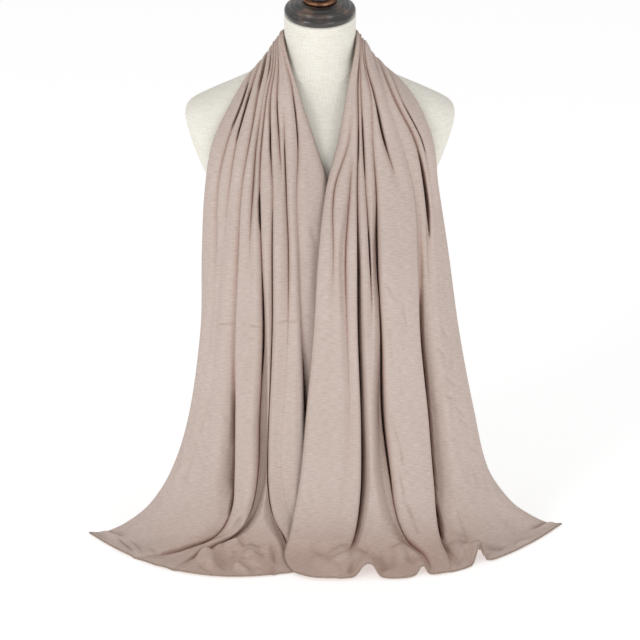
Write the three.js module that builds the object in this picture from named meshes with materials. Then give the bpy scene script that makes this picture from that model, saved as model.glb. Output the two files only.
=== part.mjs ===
// A jersey headscarf hung round the neck of a limbless dress form.
//
// The scarf is one oblong cut of knitted cloth. Its middle goes round the nape, and its two ends fall
// down the front of the form, the right one over the left, and spread out on the surface below.
// Millimetres, +Z up. The front faces -Y, and left and right are those of someone who looks at it.
// The origin is the middle of the form's flat base.
import * as THREE from "three";
import { mergeVertices } from "three/addons/utils/BufferGeometryUtils.js";

// Sizes that drive the rest.
const CLOTH_WALL = 1.4; // thickness of the cloth's wall
const SEAM_GAP = 0.3; // between two stretches of the scarf, and between the cap and the neck
const FORM_GAP = 1.3; // clear space between the form and the inside of the cloth
const SPREAD = 1; // how far a fold's height may push the cloth out, as a share of its depth

// The form: horizontal rings. side, front and back are half sizes about the ring's axis, which leans
// forward in the neck. power is the ring's squareness: 2 is an ellipse, more is boxier.
// tilt is how much a ring rises for each millimetre towards the back.
const FORM_RINGS = [
  { z: 0, side: 150, front: 97, back: 94, axis: 0, power: 2.4, cup: 0, tilt: 0 },
  { z: 50, side: 157, front: 99, back: 103, axis: 0, power: 2.4, cup: 0, tilt: 0 },
  { z: 120, side: 158, front: 99, back: 109, axis: 0, power: 2.35, cup: 0, tilt: 0 },
  { z: 200, side: 142, front: 95, back: 94, axis: 0, power: 2.3, cup: 0, tilt: 0 },
  { z: 300, side: 115, front: 83, back: 66, axis: 0, power: 2.2, cup: 0, tilt: 0 },
  { z: 370, side: 122, front: 84, back: 72, axis: 0, power: 2.3, cup: 5, tilt: 0 },
  { z: 440, side: 140, front: 89, back: 82, axis: 0, power: 2.4, cup: 25, tilt: 0 },
  { z: 490, side: 151, front: 86, back: 88, axis: 0, power: 2.6, cup: 17, tilt: 0 },
  { z: 530, side: 161, front: 80, back: 91, axis: 0, power: 2.8, cup: 5, tilt: 0 },
  { z: 565, side: 175, front: 74, back: 90, axis: 1, power: 3.1, cup: 0, tilt: 0 },
  { z: 600, side: 187, front: 66, back: 84, axis: 3, power: 3.2, cup: 0, tilt: 0 },
  { z: 620, side: 192, front: 61, back: 77, axis: 5, power: 2.9, cup: 0, tilt: 0 },
  { z: 632, side: 191, front: 58, back: 72, axis: 6, power: 2.6, cup: 0, tilt: 0 },
  { z: 642, side: 183, front: 57, back: 68, axis: 7, power: 2.3, cup: 0, tilt: 0 },
  { z: 653, side: 162, front: 56, back: 64, axis: 7, power: 2.1, cup: 0, tilt: 0.02 },
  { z: 666, side: 133, front: 55, back: 61, axis: 6, power: 1.9, cup: 0, tilt: 0.05 },
  { z: 680, side: 102, front: 54, back: 58, axis: 4, power: 1.75, cup: 0, tilt: 0.08 },
  { z: 695, side: 73, front: 53, back: 54, axis: 1, power: 1.85, cup: 0, tilt: 0.12 },
  { z: 710, side: 57, front: 51, back: 51, axis: -2, power: 2, cup: 0, tilt: 0.16 },
  { z: 728, side: 51, front: 50, back: 50, axis: -7, power: 2, cup: 0, tilt: 0.2 },
  { z: 772, side: 50, front: 50, back: 50, axis: -18, power: 2, cup: 0, tilt: 0.23 },
];
const CUP_PLACE = 80; // from the middle to the fullest point of each side of the bust
const CUP_SPREAD = 42;
const FORM_COLUMNS = 44;

// The turned neck cap, as radius and height above the cap's underside.
const CAP_TILT = Math.atan(0.23);
const CAP_PLACE = { y: -18, z: 772 };
const CAP_PROFILE = [
  [0, 0], [47.5, 0], [49.4, 1.5], [50, 4.5], [49.6, 7.5], [47.8, 10.2], [44.5, 12], [42, 12.8],
  [42.2, 14.2], [41, 16.4], [38, 17.9], [33, 18.8], [28.5, 19.6], [17, 19.7], [0, 19.7],
];
const RING_PROFILE = [[16.3, 20], [23, 20], [24.8, 21.6], [25, 23.6], [23.6, 25.6], [20.5, 26.4], [16.3, 25.6]];
const KNOB_PROFILE = [
  [0, 20], [16, 20], [16, 26.5], [13.5, 30], [11.6, 34], [12.6, 37], [17.6, 40.5], [21.2, 46],
  [22, 52], [20.6, 58.5], [16.5, 64.5], [10, 68.6], [0, 70.5],
];
const CAP_SIDES = 40;

// The scarf's sections from the middle of the nape to each hem. A section runs across the cloth from its
// inner edge, nearest the neck and the middle, to its outer edge: x goes evenly from xIn to xOut, and
// y and z go through four points, the two between at a third and at two thirds.
// depth is how far the folds stand out there.
const NAPE = {
  xIn: 0, xOut: 0, yIn: 41, yFront: 48, ySide: 60, yOut: 73,
  zIn: 753, zFront: 729, zSide: 698, zOut: 664, depth: 10,
};
const LEFT_SECTIONS = [
  { xIn: -41, xOut: -66, yIn: 17, yFront: 32, ySide: 45, yOut: 56, zIn: 743, zFront: 718, zSide: 692, zOut: 665, depth: 8 },
  { xIn: -50, xOut: -93, yIn: -26, yFront: -15, ySide: -6, yOut: 3, zIn: 735, zFront: 716, zSide: 698, zOut: 682, depth: 7 },
  { xIn: -31, xOut: -121, yIn: -58, yFront: -60, ySide: -47, yOut: -32, zIn: 669, zFront: 670, zSide: 663, zOut: 648, depth: 11 },
  { xIn: -9, xOut: -148, yIn: -73, yFront: -78, ySide: -72, yOut: -56, zIn: 604, zFront: 606, zSide: 606, zOut: 599, depth: 12 },
  { xIn: 10, xOut: -160, yIn: -85, yFront: -100, ySide: -92, yOut: -64, zIn: 541, zFront: 541, zSide: 541, zOut: 536, depth: 13 },
  { xIn: 18, xOut: -165, yIn: -112, yFront: -122, ySide: -112, yOut: -70, zIn: 458, zFront: 458, zSide: 452, zOut: 442, depth: 14 },
  { xIn: 20, xOut: -169, yIn: -121, yFront: -126, ySide: -116, yOut: -76, zIn: 340, zFront: 340, zSide: 332, zOut: 320, depth: 15 },
  { xIn: 20, xOut: -186, yIn: -124, yFront: -128, ySide: -118, yOut: -80, zIn: 217, zFront: 217, zSide: 208, zOut: 196, depth: 16 },
  { xIn: 20, xOut: -217, yIn: -127, yFront: -130, ySide: -120, yOut: -82, zIn: 124, zFront: 124, zSide: 114, zOut: 102, depth: 16 },
  { xIn: 20, xOut: -251, yIn: -130, yFront: -133, ySide: -122, yOut: -84, zIn: 62, zFront: 62, zSide: 55, zOut: 47, depth: 15 },
  { xIn: 20, xOut: -288, yIn: -134, yFront: -138, ySide: -130, yOut: -85, zIn: 20, zFront: 20, zSide: 15, zOut: 16, depth: 13 },
  { xIn: 20, xOut: -318, yIn: -152, yFront: -168, ySide: -156, yOut: -85, zIn: 3, zFront: 3, zSide: 2, zOut: 2, depth: 8 },
  { xIn: 20, xOut: -344, yIn: -188, yFront: -226, ySide: -200, yOut: -83, zIn: 0, zFront: 0, zSide: 0, zOut: 0, depth: 3 },
];
const RIGHT_SECTIONS = [
  { xIn: 41, xOut: 66, yIn: 17, yFront: 32, ySide: 45, yOut: 56, zIn: 743, zFront: 718, zSide: 692, zOut: 665, depth: 8 },
  { xIn: 50, xOut: 95, yIn: -26, yFront: -15, ySide: -6, yOut: 3, zIn: 735, zFront: 716, zSide: 698, zOut: 682, depth: 7 },
  { xIn: 39, xOut: 133, yIn: -58, yFront: -60, ySide: -47, yOut: -30, zIn: 669, zFront: 670, zSide: 663, zOut: 648, depth: 11 },
  { xIn: 27, xOut: 157, yIn: -75, yFront: -80, ySide: -72, yOut: -56, zIn: 604, zFront: 606, zSide: 606, zOut: 599, depth: 12 },
  { xIn: 10, xOut: 165, yIn: -99, yFront: -104, ySide: -92, yOut: -64, zIn: 541, zFront: 541, zSide: 541, zOut: 536, depth: 13 },
  { xIn: -2, xOut: 179, yIn: -136, yFront: -128, ySide: -112, yOut: -70, zIn: 458, zFront: 458, zSide: 452, zOut: 442, depth: 15 },
  { xIn: -9, xOut: 197, yIn: -143, yFront: -134, ySide: -118, yOut: -74, zIn: 347, zFront: 344, zSide: 334, zOut: 320, depth: 17 },
  { xIn: -19, xOut: 222, yIn: -145, yFront: -137, ySide: -120, yOut: -74, zIn: 222, zFront: 220, zSide: 208, zOut: 195, depth: 18 },
  { xIn: -28, xOut: 246, yIn: -147, yFront: -138, ySide: -120, yOut: -72, zIn: 126, zFront: 125, zSide: 113, zOut: 100, depth: 18 },
  { xIn: -38, xOut: 282, yIn: -149, yFront: -142, ySide: -122, yOut: -70, zIn: 64, zFront: 64, zSide: 55, zOut: 46, depth: 17 },
  { xIn: -46, xOut: 314, yIn: -151, yFront: -148, ySide: -130, yOut: -62, zIn: 23, zFront: 19, zSide: 15, zOut: 18, depth: 13 },
  { xIn: -52, xOut: 341, yIn: -174, yFront: -176, ySide: -152, yOut: -58, zIn: 7, zFront: 4, zSide: 3, zOut: 3, depth: 8 },
  { xIn: -50, xOut: 363, yIn: -228, yFront: -236, ySide: -192, yOut: -53, zIn: 3, zFront: 0.5, zSide: 0, zOut: 0, depth: 3 },
];

// The folds, from the inner edge outwards. at is each fold's furrow as a share of the cloth's width, and
// cut is how deep the furrow goes there, as a share of the fold's depth. Both are read at the named heights.
// crown is the height of the cloth between this furrow and the next one out.
const FOLD_HEIGHTS = [
  "nape", "neck", "collar", "chest", "bust", "rib", "waist", "hip", "thigh", "knee", "shin", "floor", "hem",
];
const FOLD_SECTIONS = [-1, 1, 2, 3, 4, 5, 6, 7, 8, 9, 10, 11, 12];
const LEFT_FOLDS = [
  {
    at: [0.07, 0.07, 0.1, 0.17, 0.26, 0.27, 0.25, 0.21, 0.17, 0.14, 0.09, 0.07, 0.05],
    cut: [0.9, 0.7, 0.8, 0.8, 0.6, 0.6, 0.8, 1, 1, 0.8, 0.3, 0.1, 0.1],
    crown: 1.0,
  },
  {
    at: [0.19, 0.145, 0.21, 0.29, 0.335, 0.335, 0.345, 0.35, 0.32, 0.24, 0.15, 0.12, 0.11],
    cut: [0.9, 0.7, 0.4, 0.7, 0.9, 0.9, 0.4, 0.3, 0.3, 0.3, 0.2, 0.1, 0.1],
    crown: 0.9,
  },
  {
    at: [0.27, 0.22, 0.3, 0.35, 0.38, 0.4, 0.41, 0.395, 0.36, 0.29, 0.2, 0.16, 0.15],
    cut: [0.9, 0.8, 0.7, 0.9, 0.2, 0, 0, 0, 0, 0, 0.1, 0.1, 0],
    crown: 0.9,
  },
  {
    at: [0.41, 0.295, 0.37, 0.43, 0.45, 0.46, 0.46, 0.445, 0.4, 0.33, 0.25, 0.21, 0.19],
    cut: [0.9, 0.8, 0.6, 1, 0.6, 0.8, 0.9, 0.6, 0.7, 1, 1, 0.6, 0.2],
    crown: 0.9,
  },
  {
    at: [0.5, 0.37, 0.43, 0.505, 0.545, 0.54, 0.53, 0.525, 0.47, 0.45, 0.49, 0.585, 0.64],
    cut: [0.9, 0.8, 0.6, 0.7, 0.6, 0.8, 1, 1, 1, 1, 1, 1, 0.5],
    crown: 1.1,
  },
  {
    at: [0.58, 0.445, 0.49, 0.56, 0.6, 0.62, 0.63, 0.6, 0.54, 0.505, 0.54, 0.63, 0.71],
    cut: [0.9, 0.8, 0.4, 0.7, 0.8, 0.3, 0, 0, 0, 0, 0.1, 0.2, 0.2],
    crown: 1.0,
  },
  {
    at: [0.72, 0.54, 0.57, 0.62, 0.68, 0.7, 0.72, 0.67, 0.6, 0.56, 0.59, 0.7, 0.8],
    cut: [0.9, 0.9, 0.8, 0.7, 0.5, 0.6, 0.6, 1, 1, 1, 1, 1, 0.6],
    crown: 1.0,
  },
  {
    at: [0.81, 0.68, 0.69, 0.745, 0.78, 0.815, 0.86, 0.85, 0.8, 0.765, 0.775, 0.825, 0.87],
    cut: [0.9, 0.9, 0.8, 0.6, 0.5, 0.2, 0.1, 0.2, 0.2, 0.1, 0.1, 0.1, 0],
    crown: 0.9,
  },
  {
    at: [0.92, 0.85, 0.79, 0.835, 0.875, 0.87, 0.9, 0.92, 0.92, 0.915, 0.925, 0.94, 0.94],
    cut: [0.8, 0.8, 0.6, 0.6, 0.5, 0.4, 0.1, 0, 0, 0, 0, 0, 0],
    crown: 0.7,
  },
];
const RIGHT_FOLDS = [
  {
    at: [0.07, 0.065, 0.06, 0.1, 0.075, 0.11, 0.115, 0.115, 0.11, 0.11, 0.105, 0.1, 0.065],
    cut: [0.9, 0.7, 0.2, 0.5, 0.7, 0.5, 0.1, 0, 0, 0, 0, 0, 0],
    crown: 0.9,
  },
  {
    at: [0.19, 0.135, 0.1, 0.155, 0.2, 0.21, 0.225, 0.25, 0.245, 0.22, 0.205, 0.19, 0.14],
    cut: [0.9, 0.7, 0, 0.1, 0.6, 0.8, 0.5, 0.3, 0.2, 0.1, 0, 0, 0],
    crown: 0.9,
  },
  {
    at: [0.27, 0.205, 0.15, 0.205, 0.265, 0.288, 0.295, 0.315, 0.315, 0.29, 0.26, 0.235, 0.19],
    cut: [0.9, 0.8, 0.9, 0.8, 0.8, 1, 1, 1, 1, 1, 1, 0.3, 0],
    crown: 1.0,
  },
  {
    at: [0.41, 0.275, 0.21, 0.26, 0.34, 0.38, 0.395, 0.395, 0.385, 0.35, 0.31, 0.29, 0.235],
    cut: [0.9, 0.8, 0.6, 0.8, 0.6, 0.9, 0.2, 0, 0, 0.1, 0.2, 0.1, 0],
    crown: 0.9,
  },
  {
    at: [0.5, 0.345, 0.31, 0.356, 0.437, 0.455, 0.46, 0.46, 0.475, 0.465, 0.485, 0.51, 0.5],
    cut: [0.9, 0.8, 0.5, 0.5, 0.8, 1, 0.7, 1, 1, 1, 1, 0.9, 0.2],
    crown: 1.1,
  },
  {
    at: [0.58, 0.42, 0.37, 0.474, 0.617, 0.618, 0.607, 0.566, 0.54, 0.52, 0.535, 0.555, 0.54],
    cut: [0.9, 0.8, 1, 1, 0.1, 0, 0, 0, 0, 0, 0, 0, 0],
    crown: 1.0,
  },
  {
    at: [0.72, 0.53, 0.5, 0.636, 0.75, 0.74, 0.713, 0.71, 0.692, 0.64, 0.613, 0.603, 0.58],
    cut: [0.9, 0.8, 0.3, 0.3, 0.4, 0.7, 1, 1, 1, 1, 1, 0.9, 0.4],
    crown: 0.8,
  },
  {
    at: [0.81, 0.66, 0.605, 0.78, 0.853, 0.82, 0.793, 0.775, 0.774, 0.738, 0.715, 0.69, 0.65],
    cut: [0.9, 0.9, 0.8, 0.8, 0.9, 0.4, 0.1, 0.1, 0.1, 0.3, 0.4, 0.5, 0.4],
    crown: 0.9,
  },
  {
    at: [0.92, 0.81, 0.74, 0.858, 0.914, 0.886, 0.863, 0.861, 0.878, 0.85, 0.836, 0.823, 0.8],
    cut: [0.8, 0.8, 0.5, 0.5, 0.2, 0, 0, 0, 0, 0, 0, 0, 0],
    crown: 0.7,
  },
];
const INNER_CROWN = { left: 0.6, right: 0.8 };
const EDGE_CUT = 0.8;
const FURROW_REACH = 13; // from a furrow to the flat of a wide fold

// Where the right end's hem lifts off the surface in an arch: at is its share of the width, inHalf and
// outHalf its half widths towards the inner and the outer edge, and back how far the hem draws back there.
const HEM_ARCHES = [
  { at: 0.29, high: 19, inHalf: 17, outHalf: 14, back: 12 },
  { at: 0.478, high: 10, inHalf: 8, outHalf: 7, back: 12 },
  { at: 0.682, high: 26, inHalf: 8, outHalf: 7, back: 16 },
];
const ARCH_REACH = 1.5; // in sections back from the hem

// Mesh density of the wall: steps from furrow to furrow, and rows from section to section.
const STEPS_PER_FOLD = 4;
const ROWS_PER_SECTION = { fall: 2, nape: 3 };

const lerp = (a, b, f) => a + (b - a) * f;
const clamp = (value, low, high) => Math.min(high, Math.max(low, value));
const smooth = (f) => f * f * (3 - 2 * f);

// A smooth value through knots that need not be evenly spaced.
function splineAt(knots, values, place) {
  const last = knots.length - 1;
  let i = 0;
  while (i < last - 1 && place > knots[i + 1]) i++;
  const slope = (k) => {
    const a = Math.max(0, k - 1);
    const b = Math.min(last, k + 1);
    return (values[b] - values[a]) / (knots[b] - knots[a]);
  };
  const span = knots[i + 1] - knots[i];
  const f = clamp((place - knots[i]) / span, 0, 1);
  const f2 = f * f;
  const f3 = f2 * f;
  return (
    (2 * f3 - 3 * f2 + 1) * values[i] +
    (f3 - 2 * f2 + f) * span * slope(i) +
    (3 * f2 - 2 * f3) * values[i + 1] +
    (f3 - f2) * span * slope(i + 1)
  );
}

// One ring of the form at a height.
const RING_HEIGHTS = FORM_RINGS.map((ring) => ring.z);
function ringAt(z) {
  const ring = {};
  for (const size of ["side", "front", "back", "axis", "power", "cup", "tilt"])
    ring[size] = splineAt(RING_HEIGHTS, FORM_RINGS.map((r) => r[size]), z);
  return ring;
}

function frontDepth(ring, x) {
  return ring.front + ring.cup * Math.exp(-(((Math.abs(x) - CUP_PLACE) / CUP_SPREAD) ** 2));
}

// Below 1 inside the form, 1 on its surface.
function formShare(x, y, z) {
  let ring = ringAt(clamp(z, RING_HEIGHTS[0], RING_HEIGHTS.at(-1)));
  ring = ringAt(clamp(z - ring.tilt * (y - ring.axis), RING_HEIGHTS[0], RING_HEIGHTS.at(-1)));
  const dy = y - ring.axis;
  const deep = dy < 0 ? frontDepth(ring, x) : ring.back;
  return ((Math.abs(x) / ring.side) ** ring.power + (Math.abs(dy) / deep) ** ring.power) ** (1 / ring.power);
}

// Moves a point that lies in the form, or too close to it, out along the form's own slope.
function clearOfForm(point, clear) {
  const step = 0.5;
  for (let pass = 0; pass < 4; pass++) {
    const { x, y, z } = point;
    const here = formShare(x, y, z);
    if (here > 1.6) return point;
    const slope = new THREE.Vector3(
      formShare(x + step, y, z) - here,
      formShare(x, y + step, z) - here,
      formShare(x, y, z + step) - here,
    ).divideScalar(step);
    const distance = (here - 1) / slope.length();
    if (distance >= clear) return point;
    point.addScaledVector(slope.normalize(), clear - distance);
  }
  return point;
}

// All sections in one chain, from the left hem over the nape to the right hem.
const SECTIONS = [...LEFT_SECTIONS.toReversed(), NAPE, ...RIGHT_SECTIONS];
const NAPE_INDEX = LEFT_SECTIONS.length;
const LAST_SECTION = SECTIONS.length - 1;
const KNOTS = SECTIONS.reduce((knots, section, i) => {
  if (i === 0) return [0];
  const before = SECTIONS[i - 1];
  const inner = Math.hypot(section.xIn - before.xIn, section.yIn - before.yIn, section.zIn - before.zIn);
  const outer = Math.hypot(section.xOut - before.xOut, section.yOut - before.yOut, section.zOut - before.zOut);
  return [...knots, knots[i - 1] + (inner + outer) / 2];
}, []);
const COLUMNS = Object.fromEntries(Object.keys(NAPE).map((key) => [key, SECTIONS.map((s) => s[key])]));

// The chain place of a section number that may lie between two sections.
function placeOf(index) {
  const i = clamp(Math.floor(index), 0, LAST_SECTION - 1);
  return lerp(KNOTS[i], KNOTS[i + 1], index - i);
}

// A fold's column of values, at every section of the chain.
function foldValues(folds, fold, key) {
  const half = (table, count) =>
    Array.from({ length: count }, (_, i) => splineAt(FOLD_SECTIONS, table[fold][key], i));
  const left = half(folds.left, LEFT_SECTIONS.length).toReversed();
  const right = half(folds.right, RIGHT_SECTIONS.length);
  return [...left, folds.left[fold][key][0], ...right];
}
const FOLDS = { left: LEFT_FOLDS, right: RIGHT_FOLDS };
const FURROWS = LEFT_FOLDS.map((_, fold) => ({
  at: foldValues(FOLDS, fold, "at"),
  cut: foldValues(FOLDS, fold, "cut"),
  crown: SECTIONS.map((_section, i) => (i < NAPE_INDEX ? LEFT_FOLDS : RIGHT_FOLDS)[fold].crown),
}));
const INNER = SECTIONS.map((_section, i) => (i < NAPE_INDEX ? INNER_CROWN.left : INNER_CROWN.right));
const PANELS = FURROWS.length + 1;

// The smooth cloth without its folds, at a chain place and a share of the width.
function layAt(place, share) {
  const at = (key) => splineAt(KNOTS, COLUMNS[key], place);
  const through = (a, b, c, d) => {
    const thirds = share * 3;
    return (
      (-a * (thirds - 1) * (thirds - 2) * (thirds - 3)) / 6 +
      (b * thirds * (thirds - 2) * (thirds - 3)) / 2 -
      (c * thirds * (thirds - 1) * (thirds - 3)) / 2 +
      (d * thirds * (thirds - 1) * (thirds - 2)) / 6
    );
  };
  return new THREE.Vector3(
    lerp(at("xIn"), at("xOut"), share),
    through(at("yIn"), at("yFront"), at("ySide"), at("yOut")),
    through(at("zIn"), at("zFront"), at("zSide"), at("zOut")),
  );
}

function layNormal(place, share) {
  const step = 1.5;
  const shift = 0.004;
  const along = layAt(place + step, share).sub(layAt(place - step, share));
  const across = layAt(place, Math.min(1, share + shift)).sub(layAt(place, Math.max(0, share - shift)));
  return along.cross(across).normalize();
}

// Furrow shape: 1 in the furrow, 0 where the fold is flat. Deep furrows are sharp, shallow ones soft.
function furrowShape(distance, sharp) {
  if (distance >= 1) return 0;
  const soft = (1 + Math.cos(Math.PI * distance)) / 2;
  return lerp(soft, (1 - distance) ** 2.2, sharp);
}

// Where the cloth's middle surface is, at a chain place, in a panel between two furrows.
function clothPoint(place, index, panel, across) {
  const value = (list) => splineAt(KNOTS, list, place);
  const low = panel === 0 ? 0 : value(FURROWS[panel - 1].at);
  const high = panel === PANELS - 1 ? 1 : value(FURROWS[panel].at);
  const share = lerp(low, high, across);
  const cutLow = panel === 0 ? EDGE_CUT : clamp(value(FURROWS[panel - 1].cut), 0, 1);
  const cutHigh = panel === PANELS - 1 ? EDGE_CUT : clamp(value(FURROWS[panel].cut), 0, 1);
  const crownOf = (p) => value(p === 0 ? INNER : FURROWS[p - 1].crown);
  const crown = crownOf(panel);
  const next = crownOf(clamp(across < 0.5 ? panel - 1 : panel + 1, 0, PANELS - 1));
  const height = lerp((crown + next) / 2, crown, smooth(1 - Math.abs(2 * across - 1)));
  const width = layAt(place, high).distanceTo(layAt(place, low));
  const reach = Math.min(0.5, FURROW_REACH / width);
  const dip =
    cutLow * furrowShape(across / reach, cutLow) + cutHigh * furrowShape((1 - across) / reach, cutHigh);
  let rise = SPREAD * value(COLUMNS.depth) * height * (1 - dip);
  let drawn = 0;
  for (const arch of HEM_ARCHES) {
    const back = LAST_SECTION - index;
    if (back >= ARCH_REACH) continue;
    const half = share < arch.at ? arch.inHalf : arch.outHalf;
    const aside = ((share - arch.at) * layAt(place, 1).distanceTo(layAt(place, 0))) / half;
    const fade = smooth(1 - back / ARCH_REACH);
    rise += arch.high * Math.exp(-aside * aside) * fade;
    drawn += arch.back * Math.exp((-aside * aside) / 3) * fade;
  }
  const point = layAt(place, share).addScaledVector(layNormal(place, share), rise);
  point.y += drawn;
  clearOfForm(point, FORM_GAP + CLOTH_WALL / 2);
  point.z = Math.max(point.z, CLOTH_WALL / 2);
  return point;
}

// A closed surface from two grids of points that face each other, joined round their four edges.
function wallGeometry(outer, inner) {
  const rows = outer.length;
  const columns = outer[0].length;
  const points = [...outer.flat(), ...inner.flat()];
  const faces = [];
  const quad = (a, b, c, d) => faces.push(a, b, c, a, c, d);
  const out = (r, c) => r * columns + c;
  const back = (r, c) => rows * columns + r * columns + c;
  for (let r = 0; r < rows - 1; r++)
    for (let c = 0; c < columns - 1; c++) {
      quad(out(r, c), out(r + 1, c), out(r + 1, c + 1), out(r, c + 1));
      quad(back(r, c), back(r, c + 1), back(r + 1, c + 1), back(r + 1, c));
    }
  for (let c = 0; c < columns - 1; c++) {
    quad(out(0, c), out(0, c + 1), back(0, c + 1), back(0, c));
    quad(out(rows - 1, c + 1), out(rows - 1, c), back(rows - 1, c), back(rows - 1, c + 1));
  }
  for (let r = 0; r < rows - 1; r++) {
    quad(out(r + 1, 0), out(r, 0), back(r, 0), back(r + 1, 0));
    quad(out(r, columns - 1), out(r + 1, columns - 1), back(r + 1, columns - 1), back(r, columns - 1));
  }
  const geometry = new THREE.BufferGeometry();
  geometry.setAttribute("position", new THREE.Float32BufferAttribute(points.flatMap((p) => p.toArray()), 3));
  geometry.setIndex(faces);
  geometry.computeVertexNormals();
  return geometry;
}

// One row of points across the cloth at a section number.
function clothRow(index) {
  const place = placeOf(index);
  const line = [];
  for (let panel = 0; panel < PANELS; panel++)
    for (let step = 0; step < STEPS_PER_FOLD; step++)
      line.push(clothPoint(place, index, panel, step / STEPS_PER_FOLD));
  line.push(clothPoint(place, index, PANELS - 1, 1));
  return line;
}

// One stretch of the scarf as a wall, between two section numbers of the chain. The rows just past its
// two ends are used for the wall's direction only, so that two stretches meet face to face.
function stretchOf(from, to, rowsPerSection) {
  const rows = Math.round((to - from) * rowsPerSection);
  const step = (to - from) / rows;
  const ghost = 0.1;
  const indices = Array.from({ length: rows + 1 }, (_, r) => from + r * step);
  const middle = indices.map(clothRow);
  const before = clothRow(Math.max(0, from - ghost));
  const after = clothRow(Math.min(LAST_SECTION, to + ghost));
  const normalAt = (r, c) => {
    const line = middle[r];
    const along = (r === rows ? after : middle[r + 1])[c].clone().sub((r === 0 ? before : middle[r - 1])[c]);
    if (r === 0 && from > 0) along.copy(clothRow(from + ghost)[c]).sub(before[c]);
    if (r === rows && to < LAST_SECTION) along.copy(after[c]).sub(clothRow(to - ghost)[c]);
    const across = line[Math.min(line.length - 1, c + 1)].clone().sub(line[Math.max(0, c - 1)]);
    return along.cross(across).normalize();
  };
  const offset = (amount) =>
    middle.map((line, r) =>
      line.map((point, c) => {
        const moved = point.clone().addScaledVector(normalAt(r, c), amount);
        moved.z = Math.max(moved.z, point.z === CLOTH_WALL / 2 ? CLOTH_WALL / 2 + amount : 0);
        return moved;
      }),
    );
  return wallGeometry(offset(CLOTH_WALL / 2), offset(-CLOTH_WALL / 2));
}

// The form's body as one closed loft, flat below and cut across the neck on top.
function formGeometry() {
  const heights = RING_HEIGHTS.flatMap((z, i) => (i === 0 ? [z] : [(z + RING_HEIGHTS[i - 1]) / 2, z]));
  const points = [];
  const faces = [];
  const power = (value, exponent) => Math.sign(value) * Math.abs(value) ** exponent;
  for (const z of heights) {
    const ring = ringAt(z);
    for (let c = 0; c < FORM_COLUMNS; c++) {
      const angle = (2 * Math.PI * c) / FORM_COLUMNS;
      const x = ring.side * power(Math.cos(angle), 2 / ring.power);
      const deep = Math.sin(angle) < 0 ? frontDepth(ring, x) : ring.back;
      const y = deep * power(Math.sin(angle), 2 / ring.power);
      points.push(x, ring.axis + y, z + ring.tilt * y);
    }
  }
  const rings = heights.length;
  const at = (r, c) => r * FORM_COLUMNS + (c % FORM_COLUMNS);
  for (let r = 0; r < rings - 1; r++)
    for (let c = 0; c < FORM_COLUMNS; c++)
      faces.push(at(r, c), at(r, c + 1), at(r + 1, c + 1), at(r, c), at(r + 1, c + 1), at(r + 1, c));
  const middle = points.length / 3;
  points.push(0, 0, 0, 0, FORM_RINGS.at(-1).axis, FORM_RINGS.at(-1).z);
  for (let c = 0; c < FORM_COLUMNS; c++) {
    faces.push(middle, at(0, c + 1), at(0, c));
    faces.push(middle + 1, at(rings - 1, c), at(rings - 1, c + 1));
  }
  const geometry = new THREE.BufferGeometry();
  geometry.setAttribute("position", new THREE.Float32BufferAttribute(points, 3));
  geometry.setIndex(faces);
  geometry.computeVertexNormals();
  return geometry;
}

// A turned piece from its profile, standing on +Z.
function turned(profile) {
  const points = profile.map(([radius, height]) => new THREE.Vector2(radius, height));
  if (profile[0][0] > 0) points.push(points[0].clone());
  const geometry = new THREE.LatheGeometry(points, CAP_SIDES);
  geometry.deleteAttribute("uv");
  geometry.deleteAttribute("normal");
  geometry.rotateX(Math.PI / 2);
  return mergeVertices(geometry, 1e-4);
}

const jersey = new THREE.MeshStandardMaterial({ color: 0xc9b2a6, roughness: 0.9, metalness: 0, side: THREE.DoubleSide });
const linen = new THREE.MeshStandardMaterial({ color: 0xe6e0d3, roughness: 0.95, metalness: 0 });
const lacquer = new THREE.MeshStandardMaterial({ color: 0x4a4744, roughness: 0.35, metalness: 0 });
const bronze = new THREE.MeshStandardMaterial({ color: 0x8a6a55, roughness: 0.4, metalness: 0.7 });

const scarfOnForm = new THREE.Group();
scarfOnForm.name = "headscarf_on_dress_form";

function add(name, geometry, material, parent = scarfOnForm) {
  const mesh = new THREE.Mesh(geometry, material);
  mesh.name = name;
  parent.add(mesh);
  return mesh;
}

add("form_body", formGeometry(), linen);

const cap = new THREE.Group();
cap.position.set(0, CAP_PLACE.y, CAP_PLACE.z);
cap.rotation.x = CAP_TILT;
scarfOnForm.add(cap);
add("neck_cap", turned(CAP_PROFILE).translate(0, 0, SEAM_GAP), lacquer, cap);
add("cap_ring", turned(RING_PROFILE).translate(0, 0, SEAM_GAP), bronze, cap);
add("cap_knob", turned(KNOB_PROFILE).translate(0, 0, SEAM_GAP), lacquer, cap);

// The nape stretch lies between the two sections at the sides of the neck.
const LEFT_SEAM = NAPE_INDEX - 2;
const RIGHT_SEAM = NAPE_INDEX + 2;
const half = (i) => {
  const a = SECTIONS[i];
  const b = SECTIONS[i + 1];
  const inner = Math.hypot(b.xIn - a.xIn, b.yIn - a.yIn, b.zIn - a.zIn);
  const outer = Math.hypot(b.xOut - a.xOut, b.yOut - a.yOut, b.zOut - a.zOut);
  return (1.2 * SEAM_GAP) / Math.min(inner, outer);
};
add("scarf_left_fall", stretchOf(0, LEFT_SEAM - half(LEFT_SEAM - 1), ROWS_PER_SECTION.fall), jersey);
const napeFrom = LEFT_SEAM + half(LEFT_SEAM);
const napeTo = RIGHT_SEAM - half(RIGHT_SEAM - 1);
add("scarf_nape", stretchOf(napeFrom, napeTo, ROWS_PER_SECTION.nape), jersey);
add("scarf_right_fall", stretchOf(RIGHT_SEAM + half(RIGHT_SEAM), LAST_SECTION, ROWS_PER_SECTION.fall), jersey);

export default scarfOnForm;
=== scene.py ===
# A plain jersey headscarf hung round the neck of a limbless dress form, with both ends fanned on the floor.
# Tables are in millimetres in the part's own frame; meshes are made in metres.
# Left and right are those of someone who looks at the front, which faces -Y.
import math

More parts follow.
